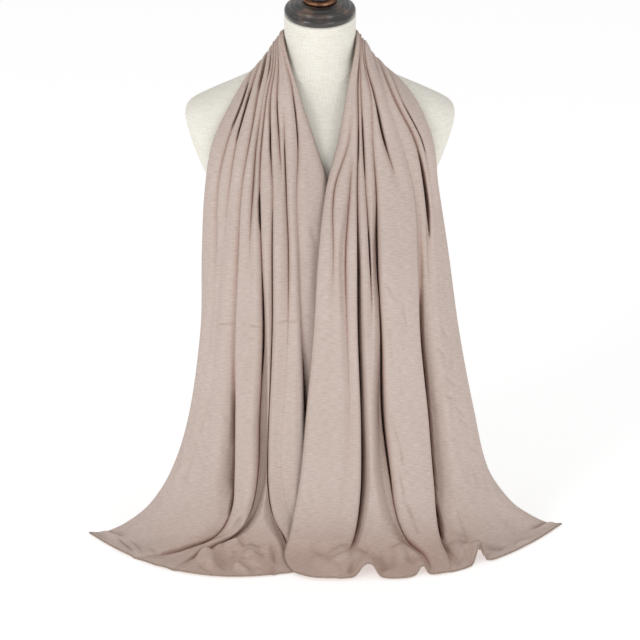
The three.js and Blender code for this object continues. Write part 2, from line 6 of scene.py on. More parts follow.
import bpy
import numpy as np
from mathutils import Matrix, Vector


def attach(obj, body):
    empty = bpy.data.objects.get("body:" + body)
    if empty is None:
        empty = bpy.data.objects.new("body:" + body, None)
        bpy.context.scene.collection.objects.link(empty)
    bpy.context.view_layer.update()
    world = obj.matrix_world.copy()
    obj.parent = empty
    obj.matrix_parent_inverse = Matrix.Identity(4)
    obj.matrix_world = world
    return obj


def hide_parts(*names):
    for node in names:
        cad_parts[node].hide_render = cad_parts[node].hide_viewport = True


MM = 0.001

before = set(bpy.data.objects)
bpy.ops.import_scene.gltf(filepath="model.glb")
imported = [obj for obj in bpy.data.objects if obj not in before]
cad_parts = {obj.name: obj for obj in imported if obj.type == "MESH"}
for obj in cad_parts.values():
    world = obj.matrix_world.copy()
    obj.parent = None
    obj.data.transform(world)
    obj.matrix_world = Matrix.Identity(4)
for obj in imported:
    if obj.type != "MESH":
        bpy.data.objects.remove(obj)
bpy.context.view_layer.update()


# The dress form's shape.

RING_COLUMNS = ("z", "side", "front", "back", "axis", "power", "cup", "tilt")
FORM_RINGS = [
    (0, 150, 97, 94, 0, 2.4, 0, 0),
    (50, 157, 99, 103, 0, 2.4, 0, 0),
    (120, 158, 99, 109, 0, 2.35, 0, 0),
    (200, 142, 95, 94, 0, 2.3, 0, 0),
    (300, 115, 83, 66, 0, 2.2, 0, 0),
    (370, 122, 84, 72, 0, 2.3, 5, 0),
    (440, 140, 89, 82, 0, 2.4, 25, 0),
    (490, 151, 86, 88, 0, 2.6, 17, 0),
    (530, 161, 80, 91, 0, 2.8, 5, 0),
    (565, 175, 74, 90, 1, 3.1, 0, 0),
    (600, 187, 66, 84, 3, 3.2, 0, 0),
    (620, 192, 61, 77, 5, 2.9, 0, 0),
    (632, 191, 58, 72, 6, 2.6, 0, 0),
    (642, 183, 57, 68, 7, 2.3, 0, 0),
    (653, 162, 56, 64, 7, 2.1, 0, 0.02),
    (666, 133, 55, 61, 6, 1.9, 0, 0.05),
    (680, 102, 54, 58, 4, 1.75, 0, 0.08),
    (695, 73, 53, 54, 1, 1.85, 0, 0.12),
    (710, 57, 51, 51, -2, 2, 0, 0.16),
    (728, 51, 50, 50, -7, 2, 0, 0.2),
    (772, 50, 50, 50, -18, 2, 0, 0.23),
]
CUP_PLACE = 80  # how far off the middle each side of the bust stands out most
CUP_SPREAD = 42  # how far it fades out from there


def spline_at(knots, values, places):
    """Smooth values through knots that need not be evenly spaced; values may hold one column or several."""
    knots = np.asarray(knots, float)
    values = np.asarray(values, float)
    places = np.asarray(places, float)
    last = len(knots) - 1
    low = np.maximum(np.arange(last + 1) - 1, 0)
    high = np.minimum(np.arange(last + 1) + 1, last)
    span = (knots[high] - knots[low]).reshape(-1, *([1] * (values.ndim - 1)))
    slopes = (values[high] - values[low]) / span
    i = np.clip(np.searchsorted(knots, places, side="right") - 1, 0, last - 1)
    width = knots[i + 1] - knots[i]
    f = np.clip((places - knots[i]) / width, 0, 1)
    shape = f.shape + (1,) * (values.ndim - 1)
    f, width = f.reshape(shape), width.reshape(shape)
    return (
        (2 * f**3 - 3 * f**2 + 1) * values[i]
        + (f**3 - 2 * f**2 + f) * width * slopes[i]
        + (3 * f**2 - 2 * f**3) * values[i + 1]
        + (f**3 - f**2) * width * slopes[i + 1]
    )


RING_TABLE = np.array(FORM_RINGS, float)


def ring_at(z):
    """Ring sizes by name at heights z."""
    sizes = spline_at(RING_TABLE[:, 0], RING_TABLE[:, 1:], z)
    return {name: sizes[..., k] for k, name in enumerate(RING_COLUMNS[1:])}


def front_depth(ring, x):
    return ring["front"] + ring["cup"] * np.exp(-(((np.abs(x) - CUP_PLACE) / CUP_SPREAD) ** 2))


def form_share(points):
    """Below 1 inside the form, 1 on its surface."""
    x, y, z = points[..., 0], points[..., 1], points[..., 2]
    top, base = RING_TABLE[-1, 0], RING_TABLE[0, 0]
    ring = ring_at(np.clip(z, base, top))
    ring = ring_at(np.clip(z - ring["tilt"] * (y - ring["axis"]), base, top))
    dy = y - ring["axis"]
    deep = np.where(dy < 0, front_depth(ring, x), ring["back"])
    power = ring["power"]
    return ((np.abs(x) / ring["side"]) ** power + (np.abs(dy) / deep) ** power) ** (1 / power)


CLEARING_ROUNDS = 4
PROBE = 0.5  # how far off the form's slope is felt
NEARBY = 1.6  # the share of the form's size past which a point is left alone


def clear_of_form(points, clear):
    """Moves the points that lie in the form, or too close to it, out along the form's own slope."""
    for _ in range(CLEARING_ROUNDS):
        here = form_share(points)
        slope = np.stack([form_share(points + PROBE * axis) - here for axis in np.eye(3)], axis=-1) / PROBE
        steep = np.linalg.norm(slope, axis=-1)
        short = clear - (here - 1) / steep
        move = np.where((here < NEARBY) & (short > 0), short, 0)
        points = points + slope / steep[..., None] * move[..., None]
    return points


# The scarf's lay and folds.

# Sections from the middle of the nape to each hem, as in the solids.
SECTION_COLUMNS = (
    "x_in", "x_out", "y_in", "y_front", "y_side", "y_out", "z_in", "z_front", "z_side", "z_out", "depth",
)
NAPE = (0, 0, 41, 48, 60, 73, 753, 729, 698, 664, 10)
LEFT_SECTIONS = [
    (-41, -66, 17, 32, 45, 56, 743, 718, 692, 665, 8),
    (-50, -93, -26, -15, -6, 3, 735, 716, 698, 682, 7),
    (-31, -121, -58, -60, -47, -32, 669, 670, 663, 648, 11),
    (-9, -148, -73, -78, -72, -56, 604, 606, 606, 599, 12),
    (10, -160, -85, -100, -92, -64, 541, 541, 541, 536, 13),
    (18, -165, -112, -122, -112, -70, 458, 458, 452, 442, 14),
    (20, -169, -121, -126, -116, -76, 340, 340, 332, 320, 15),
    (20, -186, -124, -128, -118, -80, 217, 217, 208, 196, 16),
    (20, -217, -127, -130, -120, -82, 124, 124, 114, 102, 16),
    (20, -251, -130, -133, -122, -84, 62, 62, 55, 47, 15),
    (20, -288, -134, -138, -130, -85, 20, 20, 15, 16, 14),
    (20, -318, -152, -168, -156, -85, 3, 3, 2, 2, 8),
    (20, -344, -188, -226, -200, -83, 0, 0, 0, 0, 3),
]
RIGHT_SECTIONS = [
    (41, 66, 17, 32, 45, 56, 743, 718, 692, 665, 8),
    (50, 95, -26, -15, -6, 3, 735, 716, 698, 682, 7),
    (39, 133, -58, -60, -47, -30, 669, 670, 663, 648, 11),
    (27, 157, -75, -80, -72, -56, 604, 606, 606, 599, 12),
    (10, 165, -99, -104, -92, -64, 541, 541, 541, 536, 13),
    (-2, 179, -136, -128, -112, -70, 458, 458, 452, 442, 15),
    (-9, 197, -143, -134, -118, -74, 347, 344, 334, 320, 17),
    (-19, 222, -145, -137, -120, -74, 222, 220, 208, 195, 18),
    (-28, 246, -147, -138, -120, -72, 126, 125, 113, 100, 18),
    (-38, 282, -149, -142, -122, -70, 64, 64, 55, 46, 17),
    (-46, 314, -151, -148, -130, -62, 23, 19, 15, 18, 14),
    (-52, 341, -174, -176, -152, -58, 7, 4, 3, 3, 9),
    (-50, 363, -228, -236, -192, -53, 3, 0.5, 0, 0, 3),
]

# Folds from the inner edge outwards, at thirteen heights from the nape to the hem. at is a furrow's share of
# the width and cut its depth as a share of the folds' depth. lap, at four heights, says which neighbour lies
# over the furrow: 1 the outer one, -1 the inner one, 0 neither. gap, at six heights, is the width in
# millimetres that stays open beside the edge that lies over. soft scales how far the other side slopes, and
# crown is how high the cloth stands between the furrow and the next one out.
FOLD_SECTIONS = (-1, 1, 2, 3, 4, 5, 6, 7, 8, 9, 10, 11, 12)
LAP_SECTIONS = (2, 5, 8, 11)
GAP_SECTIONS = (4, 5, 6, 7, 8, 10)
LEFT_FOLDS = [
    dict(
        at=(0.07, 0.04, 0.10, 0.17, 0.26, 0.27, 0.25, 0.21, 0.17, 0.14, 0.09, 0.07, 0.05),
        cut=(0.9, 0.6, 0.8, 0.8, 0.5, 0.5, 0.6, 1.6, 1.6, 0.8, 0.3, 0.1, 0.1),
        lap=(0.6, 0.9, 0.9, 0.5), gap=(0, 0, 2, 8, 10, 0), soft=1.1, crown=1.0,
    ),
    dict(
        at=(0.19, 0.08, 0.21, 0.29, 0.335, 0.335, 0.345, 0.35, 0.32, 0.24, 0.15, 0.12, 0.11),
        cut=(0.9, 0.6, 0.2, 0.6, 0.9, 0.9, 0.4, 0.3, 0.3, 0.3, 0.2, 0.1, 0.1),
        lap=(0, -0.7, -0.3, 0), gap=(0, 0, 0, 0, 0, 0), soft=0.8, crown=0.9,
    ),
    dict(
        at=(0.27, 0.12, 0.30, 0.345, 0.37, 0.40, 0.41, 0.395, 0.355, 0.29, 0.19, 0.155, 0.14),
        cut=(0.9, 0.8, 0.7, 0.9, 0.2, 0, 0, 0, 0, 0, 0.1, 0.1, 0),
        lap=(0, 0, 0, 0), gap=(0, 0, 0, 0, 0, 0), soft=0.7, crown=0.9,
    ),
    dict(
        at=(0.41, 0.17, 0.38, 0.43, 0.445, 0.46, 0.46, 0.445, 0.40, 0.33, 0.235, 0.19, 0.17),
        cut=(0.9, 0.8, 0.6, 1, 0.5, 0.8, 0.9, 0.6, 0.7, 1, 1.1, 0.6, 0.2),
        lap=(0, 0, -0.6, -0.9), gap=(0, 1, 1, 0, 4, 6), soft=0.4, crown=0.9,
    ),
    dict(
        at=(0.5, 0.23, 0.43, 0.51, 0.545, 0.54, 0.53, 0.525, 0.47, 0.45, 0.49, 0.585, 0.64),
        cut=(0.9, 0.8, 0.6, 0.7, 0.6, 0.8, 1.2, 1.7, 1.7, 1.4, 1.1, 1, 0.5),
        lap=(0.2, 0.3, 0.9, 0.9), gap=(0, 1, 4, 11, 12, 4), soft=0.4, crown=1.1,
    ),
    dict(
        at=(0.58, 0.31, 0.48, 0.56, 0.60, 0.62, 0.63, 0.60, 0.54, 0.505, 0.54, 0.63, 0.71),
        cut=(0.9, 0.8, 0.4, 0.7, 0.8, 0.3, 0, 0, 0, 0, 0.1, 0.2, 0.2),
        lap=(0.3, 0.3, 0, 0), gap=(2, 0, 0, 0, 0, 0), soft=0.6, crown=1.0,
    ),
    dict(
        at=(0.72, 0.45, 0.56, 0.62, 0.68, 0.70, 0.72, 0.67, 0.60, 0.55, 0.575, 0.70, 0.80),
        cut=(0.9, 0.9, 0.8, 0.7, 0.5, 0.6, 0.6, 1.1, 1.6, 1.2, 1.2, 1.2, 0.6),
        lap=(-0.3, -0.6, -0.9, 0.9), gap=(0, 0, 1, 4, 7, 4), soft=0.9, crown=1.0,
    ),
    dict(
        at=(0.81, 0.64, 0.69, 0.745, 0.78, 0.815, 0.86, 0.85, 0.80, 0.765, 0.775, 0.825, 0.87),
        cut=(0.9, 0.9, 0.8, 0.6, 0.5, 0.2, 0.1, 0.2, 0.2, 0.1, 0.1, 0.1, 0),
        lap=(-0.3, -0.4, 0, 0), gap=(0, 0, 0, 0, 0, 0), soft=1.0, crown=0.9,
    ),
    dict(
        at=(0.92, 0.84, 0.77, 0.835, 0.875, 0.87, 0.90, 0.92, 0.92, 0.915, 0.925, 0.94, 0.94),
        cut=(0.8, 0.8, 0.6, 0.6, 0.5, 0.4, 0.1, 0, 0, 0, 0, 0, 0),
        lap=(-0.3, -0.4, 0, 0), gap=(0, 0, 0, 0, 0, 0), soft=0.8, crown=0.7,
    ),
]
RIGHT_FOLDS = [
    dict(
        at=(0.07, 0.03, 0.08, 0.11, 0.075, 0.11, 0.115, 0.115, 0.11, 0.11, 0.105, 0.10, 0.065),
        cut=(0.9, 0.6, 0.1, 0.5, 0.7, 0.5, 0.1, 0, 0, 0, 0, 0, 0),
        lap=(-0.3, 0.3, 0, 0), gap=(0, 0, 0, 0, 0, 0), soft=0.6, crown=0.9,
    ),
    dict(
        at=(0.19, 0.05, 0.115, 0.16, 0.21, 0.21, 0.225, 0.25, 0.245, 0.22, 0.205, 0.19, 0.14),
        cut=(0.9, 0.6, 0, 0.1, 0.6, 0.8, 0.5, 0.3, 0.2, 0.1, 0, 0, 0),
        lap=(0, 0.6, 0, 0), gap=(1, 8, 4, 0, 0, 0), soft=0.5, crown=0.9,
    ),
    dict(
        at=(0.27, 0.07, 0.15, 0.205, 0.267, 0.288, 0.295, 0.315, 0.315, 0.29, 0.26, 0.235, 0.19),
        cut=(0.9, 0.9, 0.9, 0.8, 0.8, 1.3, 1.6, 1.6, 1.6, 1.4, 1, 0.3, 0),
        lap=(-0.3, -0.9, -0.9, -0.9), gap=(0, 1, 2, 2, 4, 4), soft=0.45, crown=1.0,
    ),
    dict(
        at=(0.41, 0.1, 0.19, 0.255, 0.34, 0.38, 0.395, 0.395, 0.385, 0.35, 0.31, 0.29, 0.235),
        cut=(0.9, 0.9, 0.6, 0.8, 0.6, 0.9, 0.2, 0, 0, 0.1, 0.2, 0.1, 0),
        lap=(0, -0.5, 0, 0), gap=(0, 1, 0, 0, 0, 0), soft=0.6, crown=0.9,
    ),
    dict(
        at=(0.5, 0.13, 0.31, 0.356, 0.437, 0.455, 0.46, 0.46, 0.475, 0.465, 0.485, 0.52, 0.51),
        cut=(0.9, 0.9, 0.5, 0.5, 0.8, 1.3, 0.7, 1.6, 1.2, 1, 1, 0.9, 0.2),
        lap=(0.2, 0.8, 0.9, 0.9), gap=(0, 4, 3, 7, 13, 5), soft=0.7, crown=1.1,
    ),
    dict(
        at=(0.58, 0.18, 0.36, 0.474, 0.617, 0.618, 0.607, 0.566, 0.54, 0.52, 0.535, 0.56, 0.54),
        cut=(0.9, 0.9, 1, 1, 0.1, 0, 0.05, 0, 0, 0, 0, 0, 0),
        lap=(0.6, 0.5, 0, 0), gap=(0, 0, 0, 0, 0, 0), soft=0.8, crown=1.0,
    ),
    dict(
        at=(0.72, 0.4, 0.50, 0.636, 0.75, 0.74, 0.713, 0.71, 0.692, 0.64, 0.613, 0.603, 0.575),
        cut=(0.9, 0.8, 0.3, 0.3, 0.4, 0.7, 1.3, 1.6, 1.6, 1.3, 1.2, 0.9, 0.4),
        lap=(-0.8, -0.9, -0.9, -0.9), gap=(0, 1, 5, 8, 10, 6), soft=1.0, crown=0.8,
    ),
    dict(
        at=(0.81, 0.57, 0.605, 0.78, 0.853, 0.82, 0.793, 0.775, 0.774, 0.738, 0.715, 0.69, 0.65),
        cut=(0.9, 0.9, 0.8, 0.8, 0.9, 0.4, 0.1, 0.1, 0.1, 0.3, 0.4, 0.5, 0.4),
        lap=(-0.3, -0.4, -0.4, -0.4), gap=(2, 0, 0, 0, 0, 0), soft=0.8, crown=0.9,
    ),
    dict(
        at=(0.92, 0.77, 0.71, 0.858, 0.914, 0.886, 0.863, 0.861, 0.878, 0.85, 0.836, 0.823, 0.80),
        cut=(0.8, 0.8, 0.5, 0.5, 0.2, 0, 0, 0, 0, 0, 0, 0, 0),
        lap=(0, 0, 0, 0), gap=(0, 0, 0, 0, 0, 0), soft=0.8, crown=0.7,
    ),
]
# How high the cloth stands between each end's inner edge and its first furrow.
INNER_CROWN = {"left": 0.6, "right": 0.8}
EDGE_CUT = 0.8  # how far the cloth dips at its own edges
# How far a furrow's sides reach, at the thirteen heights: on the side that slopes in and on the side that
# lies over it.
SLOPE_REACH = (6, 6, 8, 10, 12, 16, 20, 22, 24, 26, 26, 26, 26)
ROLL_REACH = (4, 4, 5, 5.5, 6, 6, 6.5, 6.5, 7, 7, 7, 7, 9)
OVERHANG = 2.0  # how far the cloth that lies over a furrow bulges across it
SLIT = 30  # how far in the darkest slits between folds go
INTO = np.array([0, 0.94, -0.34])  # the way they go: back and a little down

# Where a furrow closes to a narrow dark slit: the fold counted from the inner edge, the two sections the
# slit runs between, and half its width in millimetres.
LEFT_SLITS = [
    (1, 2.0, 3.2, 1.1), (1, 6.3, 8.3, 2.2), (2, 3.0, 4.2, 0.9), (3, 2.1, 3.0, 0.8), (4, 2.6, 3.5, 1.3),
    (4, 4.3, 7.0, 0.9), (4, 6.8, 10.6, 1.2), (5, 4.0, 4.7, 1.7), (5, 5.2, 6.7, 1.6), (6, 0.6, 1.7, 1.1),
    (7, 0.8, 2.0, 1.6), (7, 6.6, 9.3, 1.3), (8, 1.8, 3.1, 0.9), (9, 1.6, 2.8, 0.8),
]
RIGHT_SLITS = [
    (3, 1.2, 1.9, 1.1), (3, 2.6, 3.5, 1.1), (3, 4.4, 7.4, 1.7), (3, 6.6, 10.2, 1.9), (4, 2.4, 3.8, 1.2),
    (4, 4.6, 5.3, 1.1), (5, 4.1, 5.8, 1.3), (5, 5.3, 8.7, 1.7), (6, 2.2, 3.3, 1.8), (7, 5.3, 9.2, 2.4),
    (7, 8.6, 10.2, 2.6), (8, 3.2, 4.8, 1.5), (9, 2.2, 3.3, 0.8),
]
CORNER_ROUND = 46  # the right end's inner corner curls round this far

# Where the right end's hem stands up off the floor. in_half and out_half are the half widths towards the
# inner and the outer edge, and back is how far the hem is drawn back there.
HEM_ARCHES = [
    dict(at=0.29, high=19, in_half=17, out_half=14, back=12),
    dict(at=0.478, high=10, in_half=8, out_half=7, back=12),
    dict(at=0.682, high=26, in_half=8, out_half=7, back=16),
]
ARCH_REACH = 1.5  # how many sections an arch reaches back from the hem

# Small creases and crumples, placed one by one: from a section and share of the width to another, their
# height in millimetres (below 0 a trough) and their half width. Sections count from the nape.
LEFT_CREASES = [
    (5.85, 0.84, 5.85, 0.71, -2.3, 1.5), (5.85, 0.625, 5.9, 0.53, -2.3, 1.5),
    (5.85, 0.46, 5.85, 0.255, -2.3, 1.5), (5.8, 0.235, 5.8, 0.145, -1.9, 1.5),
    (5.95, 0.665, 6.1, 0.595, -1.9, 2.2), (6.2, 0.69, 6.45, 0.59, -1.9, 2.4),
    (6.4, 0.655, 6.55, 0.6, -1.9, 2.4), (6.2, 0.635, 6.4, 0.57, -1.7, 2.2),
    (7.1, 0.6, 6.95, 0.55, -1.9, 1.8), (6.9, 0.775, 7.1, 0.7, -1.7, 2.4),
    (6.6, 0.665, 6.7, 0.615, -1.7, 2.2), (4.7, 0.835, 6.6, 0.85, -2.4, 2.6),
    (6.6, 0.85, 9.2, 0.835, -2.9, 3.6), (4.9, 0.87, 8.8, 0.88, 2.8, 6), (4.55, 0.17, 5, 0.135, -2.2, 2),
    (8.6, 0.46, 9.6, 0.485, -4.4, 3.2), (8.7, 0.475, 9.55, 0.475, 3.8, 3.2),
    (9.05, 0.48, 9.8, 0.505, -4.4, 3.2), (10.55, 0.495, 11.55, 0.51, 6.6, 4.2),
    (10.6, 0.36, 11.6, 0.33, 7.8, 11.2), (10.9, 0.44, 11.6, 0.47, -7.8, 7.5),
    (10.8, 0.55, 11.7, 0.52, 7.8, 10), (10.7, 0.435, 11.1, 0.43, -5.9, 3.8),
    (11.55, 0.415, 11.85, 0.335, 5.3, 3.8), (11.05, 0.39, 11.2, 0.305, 3.9, 3.8),
    (10.35, 0.28, 11.55, 0.24, -7.9, 4.2), (11.45, 0.245, 12, 0.245, -6.6, 4.2),
    (10.35, 0.385, 10.6, 0.325, -3.9, 4.2), (9.9, 0.455, 10.7, 0.39, -5.9, 3.8),
    (11.2, 0.975, 10.55, 0.93, -5.9, 3.8), (11.55, 0.985, 10.95, 0.935, 5.3, 3.8),
    (11.3, 0.915, 11.65, 0.825, -5.9, 3.8), (11.25, 0.875, 11.8, 0.785, 5.3, 3.8),
    (11.75, 0.985, 11.35, 0.965, -4.7, 3.8), (11.1, 0.79, 11.6, 0.69, -3.1, 4.2),
    (7.4, 0.875, 7.6, 0.8, -1.9, 2.4), (7.6, 0.875, 7.9, 0.785, -1.9, 2.4),
    (7.95, 0.93, 8.4, 0.815, -1.9, 2.8), (10.9, 0.3, 11.3, 0.36, -5.2, 4),
    (11.3, 0.37, 11.7, 0.4, 4.5, 4), (11.2, 0.47, 11.55, 0.43, -4.5, 4),
    (11.5, 0.56, 11.8, 0.48, -4.5, 4.5), (10.95, 0.52, 11.25, 0.58, 4.5, 4.5),
]
RIGHT_CREASES = [
    (4.6, 0.01, 4.65, 0.075, -1.4, 2.2), (5.55, 0.015, 5.35, 0.085, -1.9, 2),
    (6.85, 0.03, 6.8, 0.14, -1.7, 2.2), (7, 0.045, 6.9, 0.115, -1.9, 1.8),
    (5.3, 0.48, 5.55, 0.545, -2.2, 2), (5.4, 0.49, 5.55, 0.53, 1.9, 2),
    (5.55, 0.605, 5.95, 0.62, -1.7, 2), (6.1, 0.55, 6.5, 0.555, -1.7, 2.2),
    (6.5, 0.555, 6.75, 0.57, -1.7, 2.2), (5.8, 0.49, 6.35, 0.52, -1.9, 2.2),
    (6.2, 0.51, 6.45, 0.53, -1.4, 2.2), (6.95, 0.48, 7.45, 0.53, -3, 1.9),
    (7.4, 0.53, 7.8, 0.535, -2.8, 1.9), (7.8, 0.51, 8.7, 0.51, -3.2, 2.1),
    (8.6, 0.51, 9.85, 0.53, -3.5, 2.2), (6.7, 0.78, 6.8, 0.905, -2.4, 2.2),
    (6.5, 0.835, 6.65, 0.905, -2, 2.2), (6.6, 0.695, 6.8, 0.77, -2, 2.4), (6.8, 0.745, 7, 0.765, -2, 2.4),
    (6.1, 0.8, 6.3, 0.865, -1.7, 2.4), (5.9, 0.855, 6.1, 0.905, -1.7, 2.6),
    (6.85, 0.87, 7.05, 0.925, -1.7, 2.8), (7.05, 0.89, 7.25, 0.955, -1.8, 2.2),
    (7.45, 0.905, 7.7, 0.965, -1.8, 2.4), (7.6, 0.925, 7.75, 0.975, 1.5, 2.4),
    (7.9, 0.905, 8.5, 0.895, -1.9, 2.8), (8, 0.955, 8.85, 0.915, -1.7, 2.8),
    (11.05, 0.74, 11.6, 0.79, -10.5, 3.8), (10.1, 0.61, 11.7, 0.625, -10.5, 4.2),
    (9.8, 0.665, 10.9, 0.72, -6.1, 6), (10.35, 0.64, 11.4, 0.655, 6.6, 5.1),
    (11.4, 0.165, 11.25, 0.245, 4.7, 4.2), (10.35, 0.1, 11.1, 0.15, -4.7, 7.6),
    (10.5, 0.3, 11.35, 0.31, -5.3, 5.1), (10.9, 0.385, 11.6, 0.395, -4.7, 6),
    (11.2, 0.985, 10.7, 0.94, -5.9, 3.8), (11.6, 0.99, 11, 0.955, 5.3, 3.8),
    (10.6, 0.2, 11.6, 0.24, 9.8, 13.8), (10.7, 0.33, 11.7, 0.36, -7.8, 10),
    (10.5, 0.42, 11.3, 0.44, 7.8, 10), (11.2, 0.1, 11.8, 0.2, 5.9, 10),
    (9.75, 0.895, 11.15, 0.91, -2.9, 7), (11.5, 0.28, 11.8, 0.22, -4.5, 5),
    (11.1, 0.45, 11.6, 0.48, -5.2, 5), (11.3, 0.72, 11.7, 0.7, 3.9, 5), (11.6, 0.83, 11.9, 0.88, 3.9, 5),
    (8.95, 0.885, 10.25, 0.895, -2, 5.6),
]

CLOTH = 0.9  # thickness of the jersey
FORM_GAP = 1.3  # how far the cloth keeps off the form

SECTIONS = np.array(LEFT_SECTIONS[::-1] + [NAPE] + RIGHT_SECTIONS, float)
NAPE_INDEX = len(LEFT_SECTIONS)
LAST_SECTION = len(SECTIONS) - 1
COLUMN = {name: k for k, name in enumerate(SECTION_COLUMNS)}
PANELS = len(LEFT_FOLDS) + 1
TURN_SECTIONS = 4  # over so many sections round the nape the left folds' numbers turn into the right ones'


def chain_knots():
    """How far along the cloth each section lies, as the mean of its two edges."""
    inner = SECTIONS[:, [COLUMN["x_in"], COLUMN["y_in"], COLUMN["z_in"]]]
    outer = SECTIONS[:, [COLUMN["x_out"], COLUMN["y_out"], COLUMN["z_out"]]]
    steps = [np.linalg.norm(np.diff(edge, axis=0), axis=1) for edge in (inner, outer)]
    return np.concatenate([[0], np.cumsum((steps[0] + steps[1]) / 2)])


KNOTS = chain_knots()


def along_chain(heights, left, right):
    """A column of a table at every section, from the left hem over the nape to the right hem."""
    numbers = np.clip(np.arange(NAPE_INDEX), heights[0], heights[-1])
    left_half = spline_at(heights, left, numbers)[::-1]
    right_half = spline_at(heights, right, numbers)
    middle = (left[0] + right[0]) / 2
    return np.concatenate([left_half, [middle], right_half])


def fold_column(key, heights=None):
    """One column of every fold's table at every section of the chain."""
    columns = []
    for left, right in zip(LEFT_FOLDS, RIGHT_FOLDS):
        if heights is None:
            side = np.clip((np.arange(LAST_SECTION + 1) - NAPE_INDEX) / TURN_SECTIONS + 0.5, 0, 1)
            columns.append(left[key] + (right[key] - left[key]) * side)
        else:
            columns.append(along_chain(heights, left[key], right[key]))
    return np.stack(columns, axis=1)


FURROW_AT = fold_column("at", FOLD_SECTIONS)
FURROW_CUT = np.maximum(fold_column("cut", FOLD_SECTIONS), 0)
FURROW_LAP = fold_column("lap", LAP_SECTIONS)
FURROW_GAP = np.maximum(fold_column("gap", GAP_SECTIONS), 0)
FURROW_SOFT = fold_column("soft")
INNER_CROWNS = along_chain((0, 1), [INNER_CROWN["left"]] * 2, [INNER_CROWN["right"]] * 2)
CROWNS = np.concatenate([INNER_CROWNS[:, None], fold_column("crown")], axis=1)
SLOPE = along_chain(FOLD_SECTIONS, SLOPE_REACH, SLOPE_REACH)
ROLL = along_chain(FOLD_SECTIONS, ROLL_REACH, ROLL_REACH)


def lay_at(places, share):
    """The smooth cloth without its folds: places is one per row, share a row of shares for each."""
    sizes = spline_at(KNOTS, SECTIONS, places)[:, None, :]
    thirds = share[..., None] * 3

    def through(names):
        a, b, c, d = (sizes[..., COLUMN[name] : COLUMN[name] + 1] for name in names)
        return (
            -a * (thirds - 1) * (thirds - 2) * (thirds - 3) / 6
            + b * thirds * (thirds - 2) * (thirds - 3) / 2
            - c * thirds * (thirds - 1) * (thirds - 3) / 2
            + d * thirds * (thirds - 1) * (thirds - 2) / 6
        )

    x_in, x_out = sizes[..., :1], sizes[..., 1:2]
    x = x_in + (x_out - x_in) * share[..., None]
    y = through(("y_in", "y_front", "y_side", "y_out"))
    z = through(("z_in", "z_front", "z_side", "z_out"))
    return np.concatenate([x, y, z], axis=-1)


def unit(vectors):
    return vectors / np.maximum(np.linalg.norm(vectors, axis=-1, keepdims=True), 1e-9)


def eased(share):
    """A share from 0 to 1 that starts and ends gently."""
    return share * share * (3 - 2 * share)


def rising(values, start, span):
    """0 up to a start, 1 from one span further on, and even in between."""
    return np.clip((values - start) / span, 0, 1)


SIDE_POWER = 2.2  # how fast a furrow's side leaves the furrow


def slope_side(distance, sharp):
    """A soft side of a furrow: 1 in the furrow, 0 past its reach. sharp is 0 for a round valley."""
    s = np.clip(distance, 0, 1)
    valley = 0.5 * (1 + np.cos(math.pi * s))
    return valley + 0.5 * sharp * ((1 - s) ** SIDE_POWER - valley)


def roll_side(distance):
    """A side that rolls over the furrow: steep at first, then round."""
    s = np.clip(distance, 0, 1)
    return 1 - np.sqrt(np.clip(1 - (1 - s) ** SIDE_POWER, 0, 1))


LEAN_REACH = 1.6  # the overhang reaches this much further than the rolled side


def lean_of(distance):
    """How far the rolled side leans over: 0 in the furrow, 1 a third of the way out, 0 past its reach."""
    s = np.clip(distance / LEAN_REACH, 0, 1)
    return 6.75 * s * (1 - s) ** 2


THIN_SLIT = 0.8  # half the width of a slit at its two ends
PLAIN_HALF = 1.4  # half the width of a furrow's opening where it has no slit


def slit_at(rows, fold):
    """How far a fold's furrow is a slit at each row, from 0 to 1, and half the slit's width."""
    opening = np.zeros((len(rows), 1))
    half = np.full((len(rows), 1), PLAIN_HALF)
    away = np.abs(rows - NAPE_INDEX)[:, None] - 1
    for sign, slits in ((-1, LEFT_SLITS), (1, RIGHT_SLITS)):
        here = sign * (rows[:, None] - NAPE_INDEX) > 0
        for number, section, to_section, wide in slits:
            if number != fold:
                continue
            along = np.clip((away - section) / (to_section - section), 0, 1)
            strength = np.where(here, np.clip(1.25 * np.sin(math.pi * along), 0, 1), 0)
            half = np.where(strength > opening, THIN_SLIT + (wide - THIN_SLIT) * strength, half)
            opening = np.maximum(opening, strength)
    return opening, half


# What a furrow's cut brings about: the cut at which it starts, and how much more makes it full.
SHARP_CUT = (0.15, 0.4)  # its sides turn from a round valley into sharp ones
FOLD_SHADE_CUT = (0.3, 0.5)  # where the painted shade inside it starts to show
OPEN_CUT = (0.6, 0.7)  # it stands a little open between its slits
OPEN_SHARE = 0.22  # by this share of a slit
MOST_CUT = 2
MOST_LEAN_CUT = 1.1

FULL_DEPTH = 14  # the depth of the folds at which slits and overhangs are full
FULL_ROOM = 30  # the width of the two panels beside a furrow that its slit and overhang need
MERGE = 4  # the power that runs neighbouring furrows into each other
MOST_TURN = 0.8  # how steeply the cloth turns away at most where a slit is moved for it
LIP_SHARE = 0.9  # by this share of the folds' depth, for each unit of that
FOLD_SHADE = 0.55  # how strongly the painted shade inside a fold shows
FOLD_SHADE_MARGIN = 0.7  # how far it reaches past half a slit's width
EVEN_SHARE = 0.4  # how evenly points lie across a panel; the rest of them crowd beside its furrows


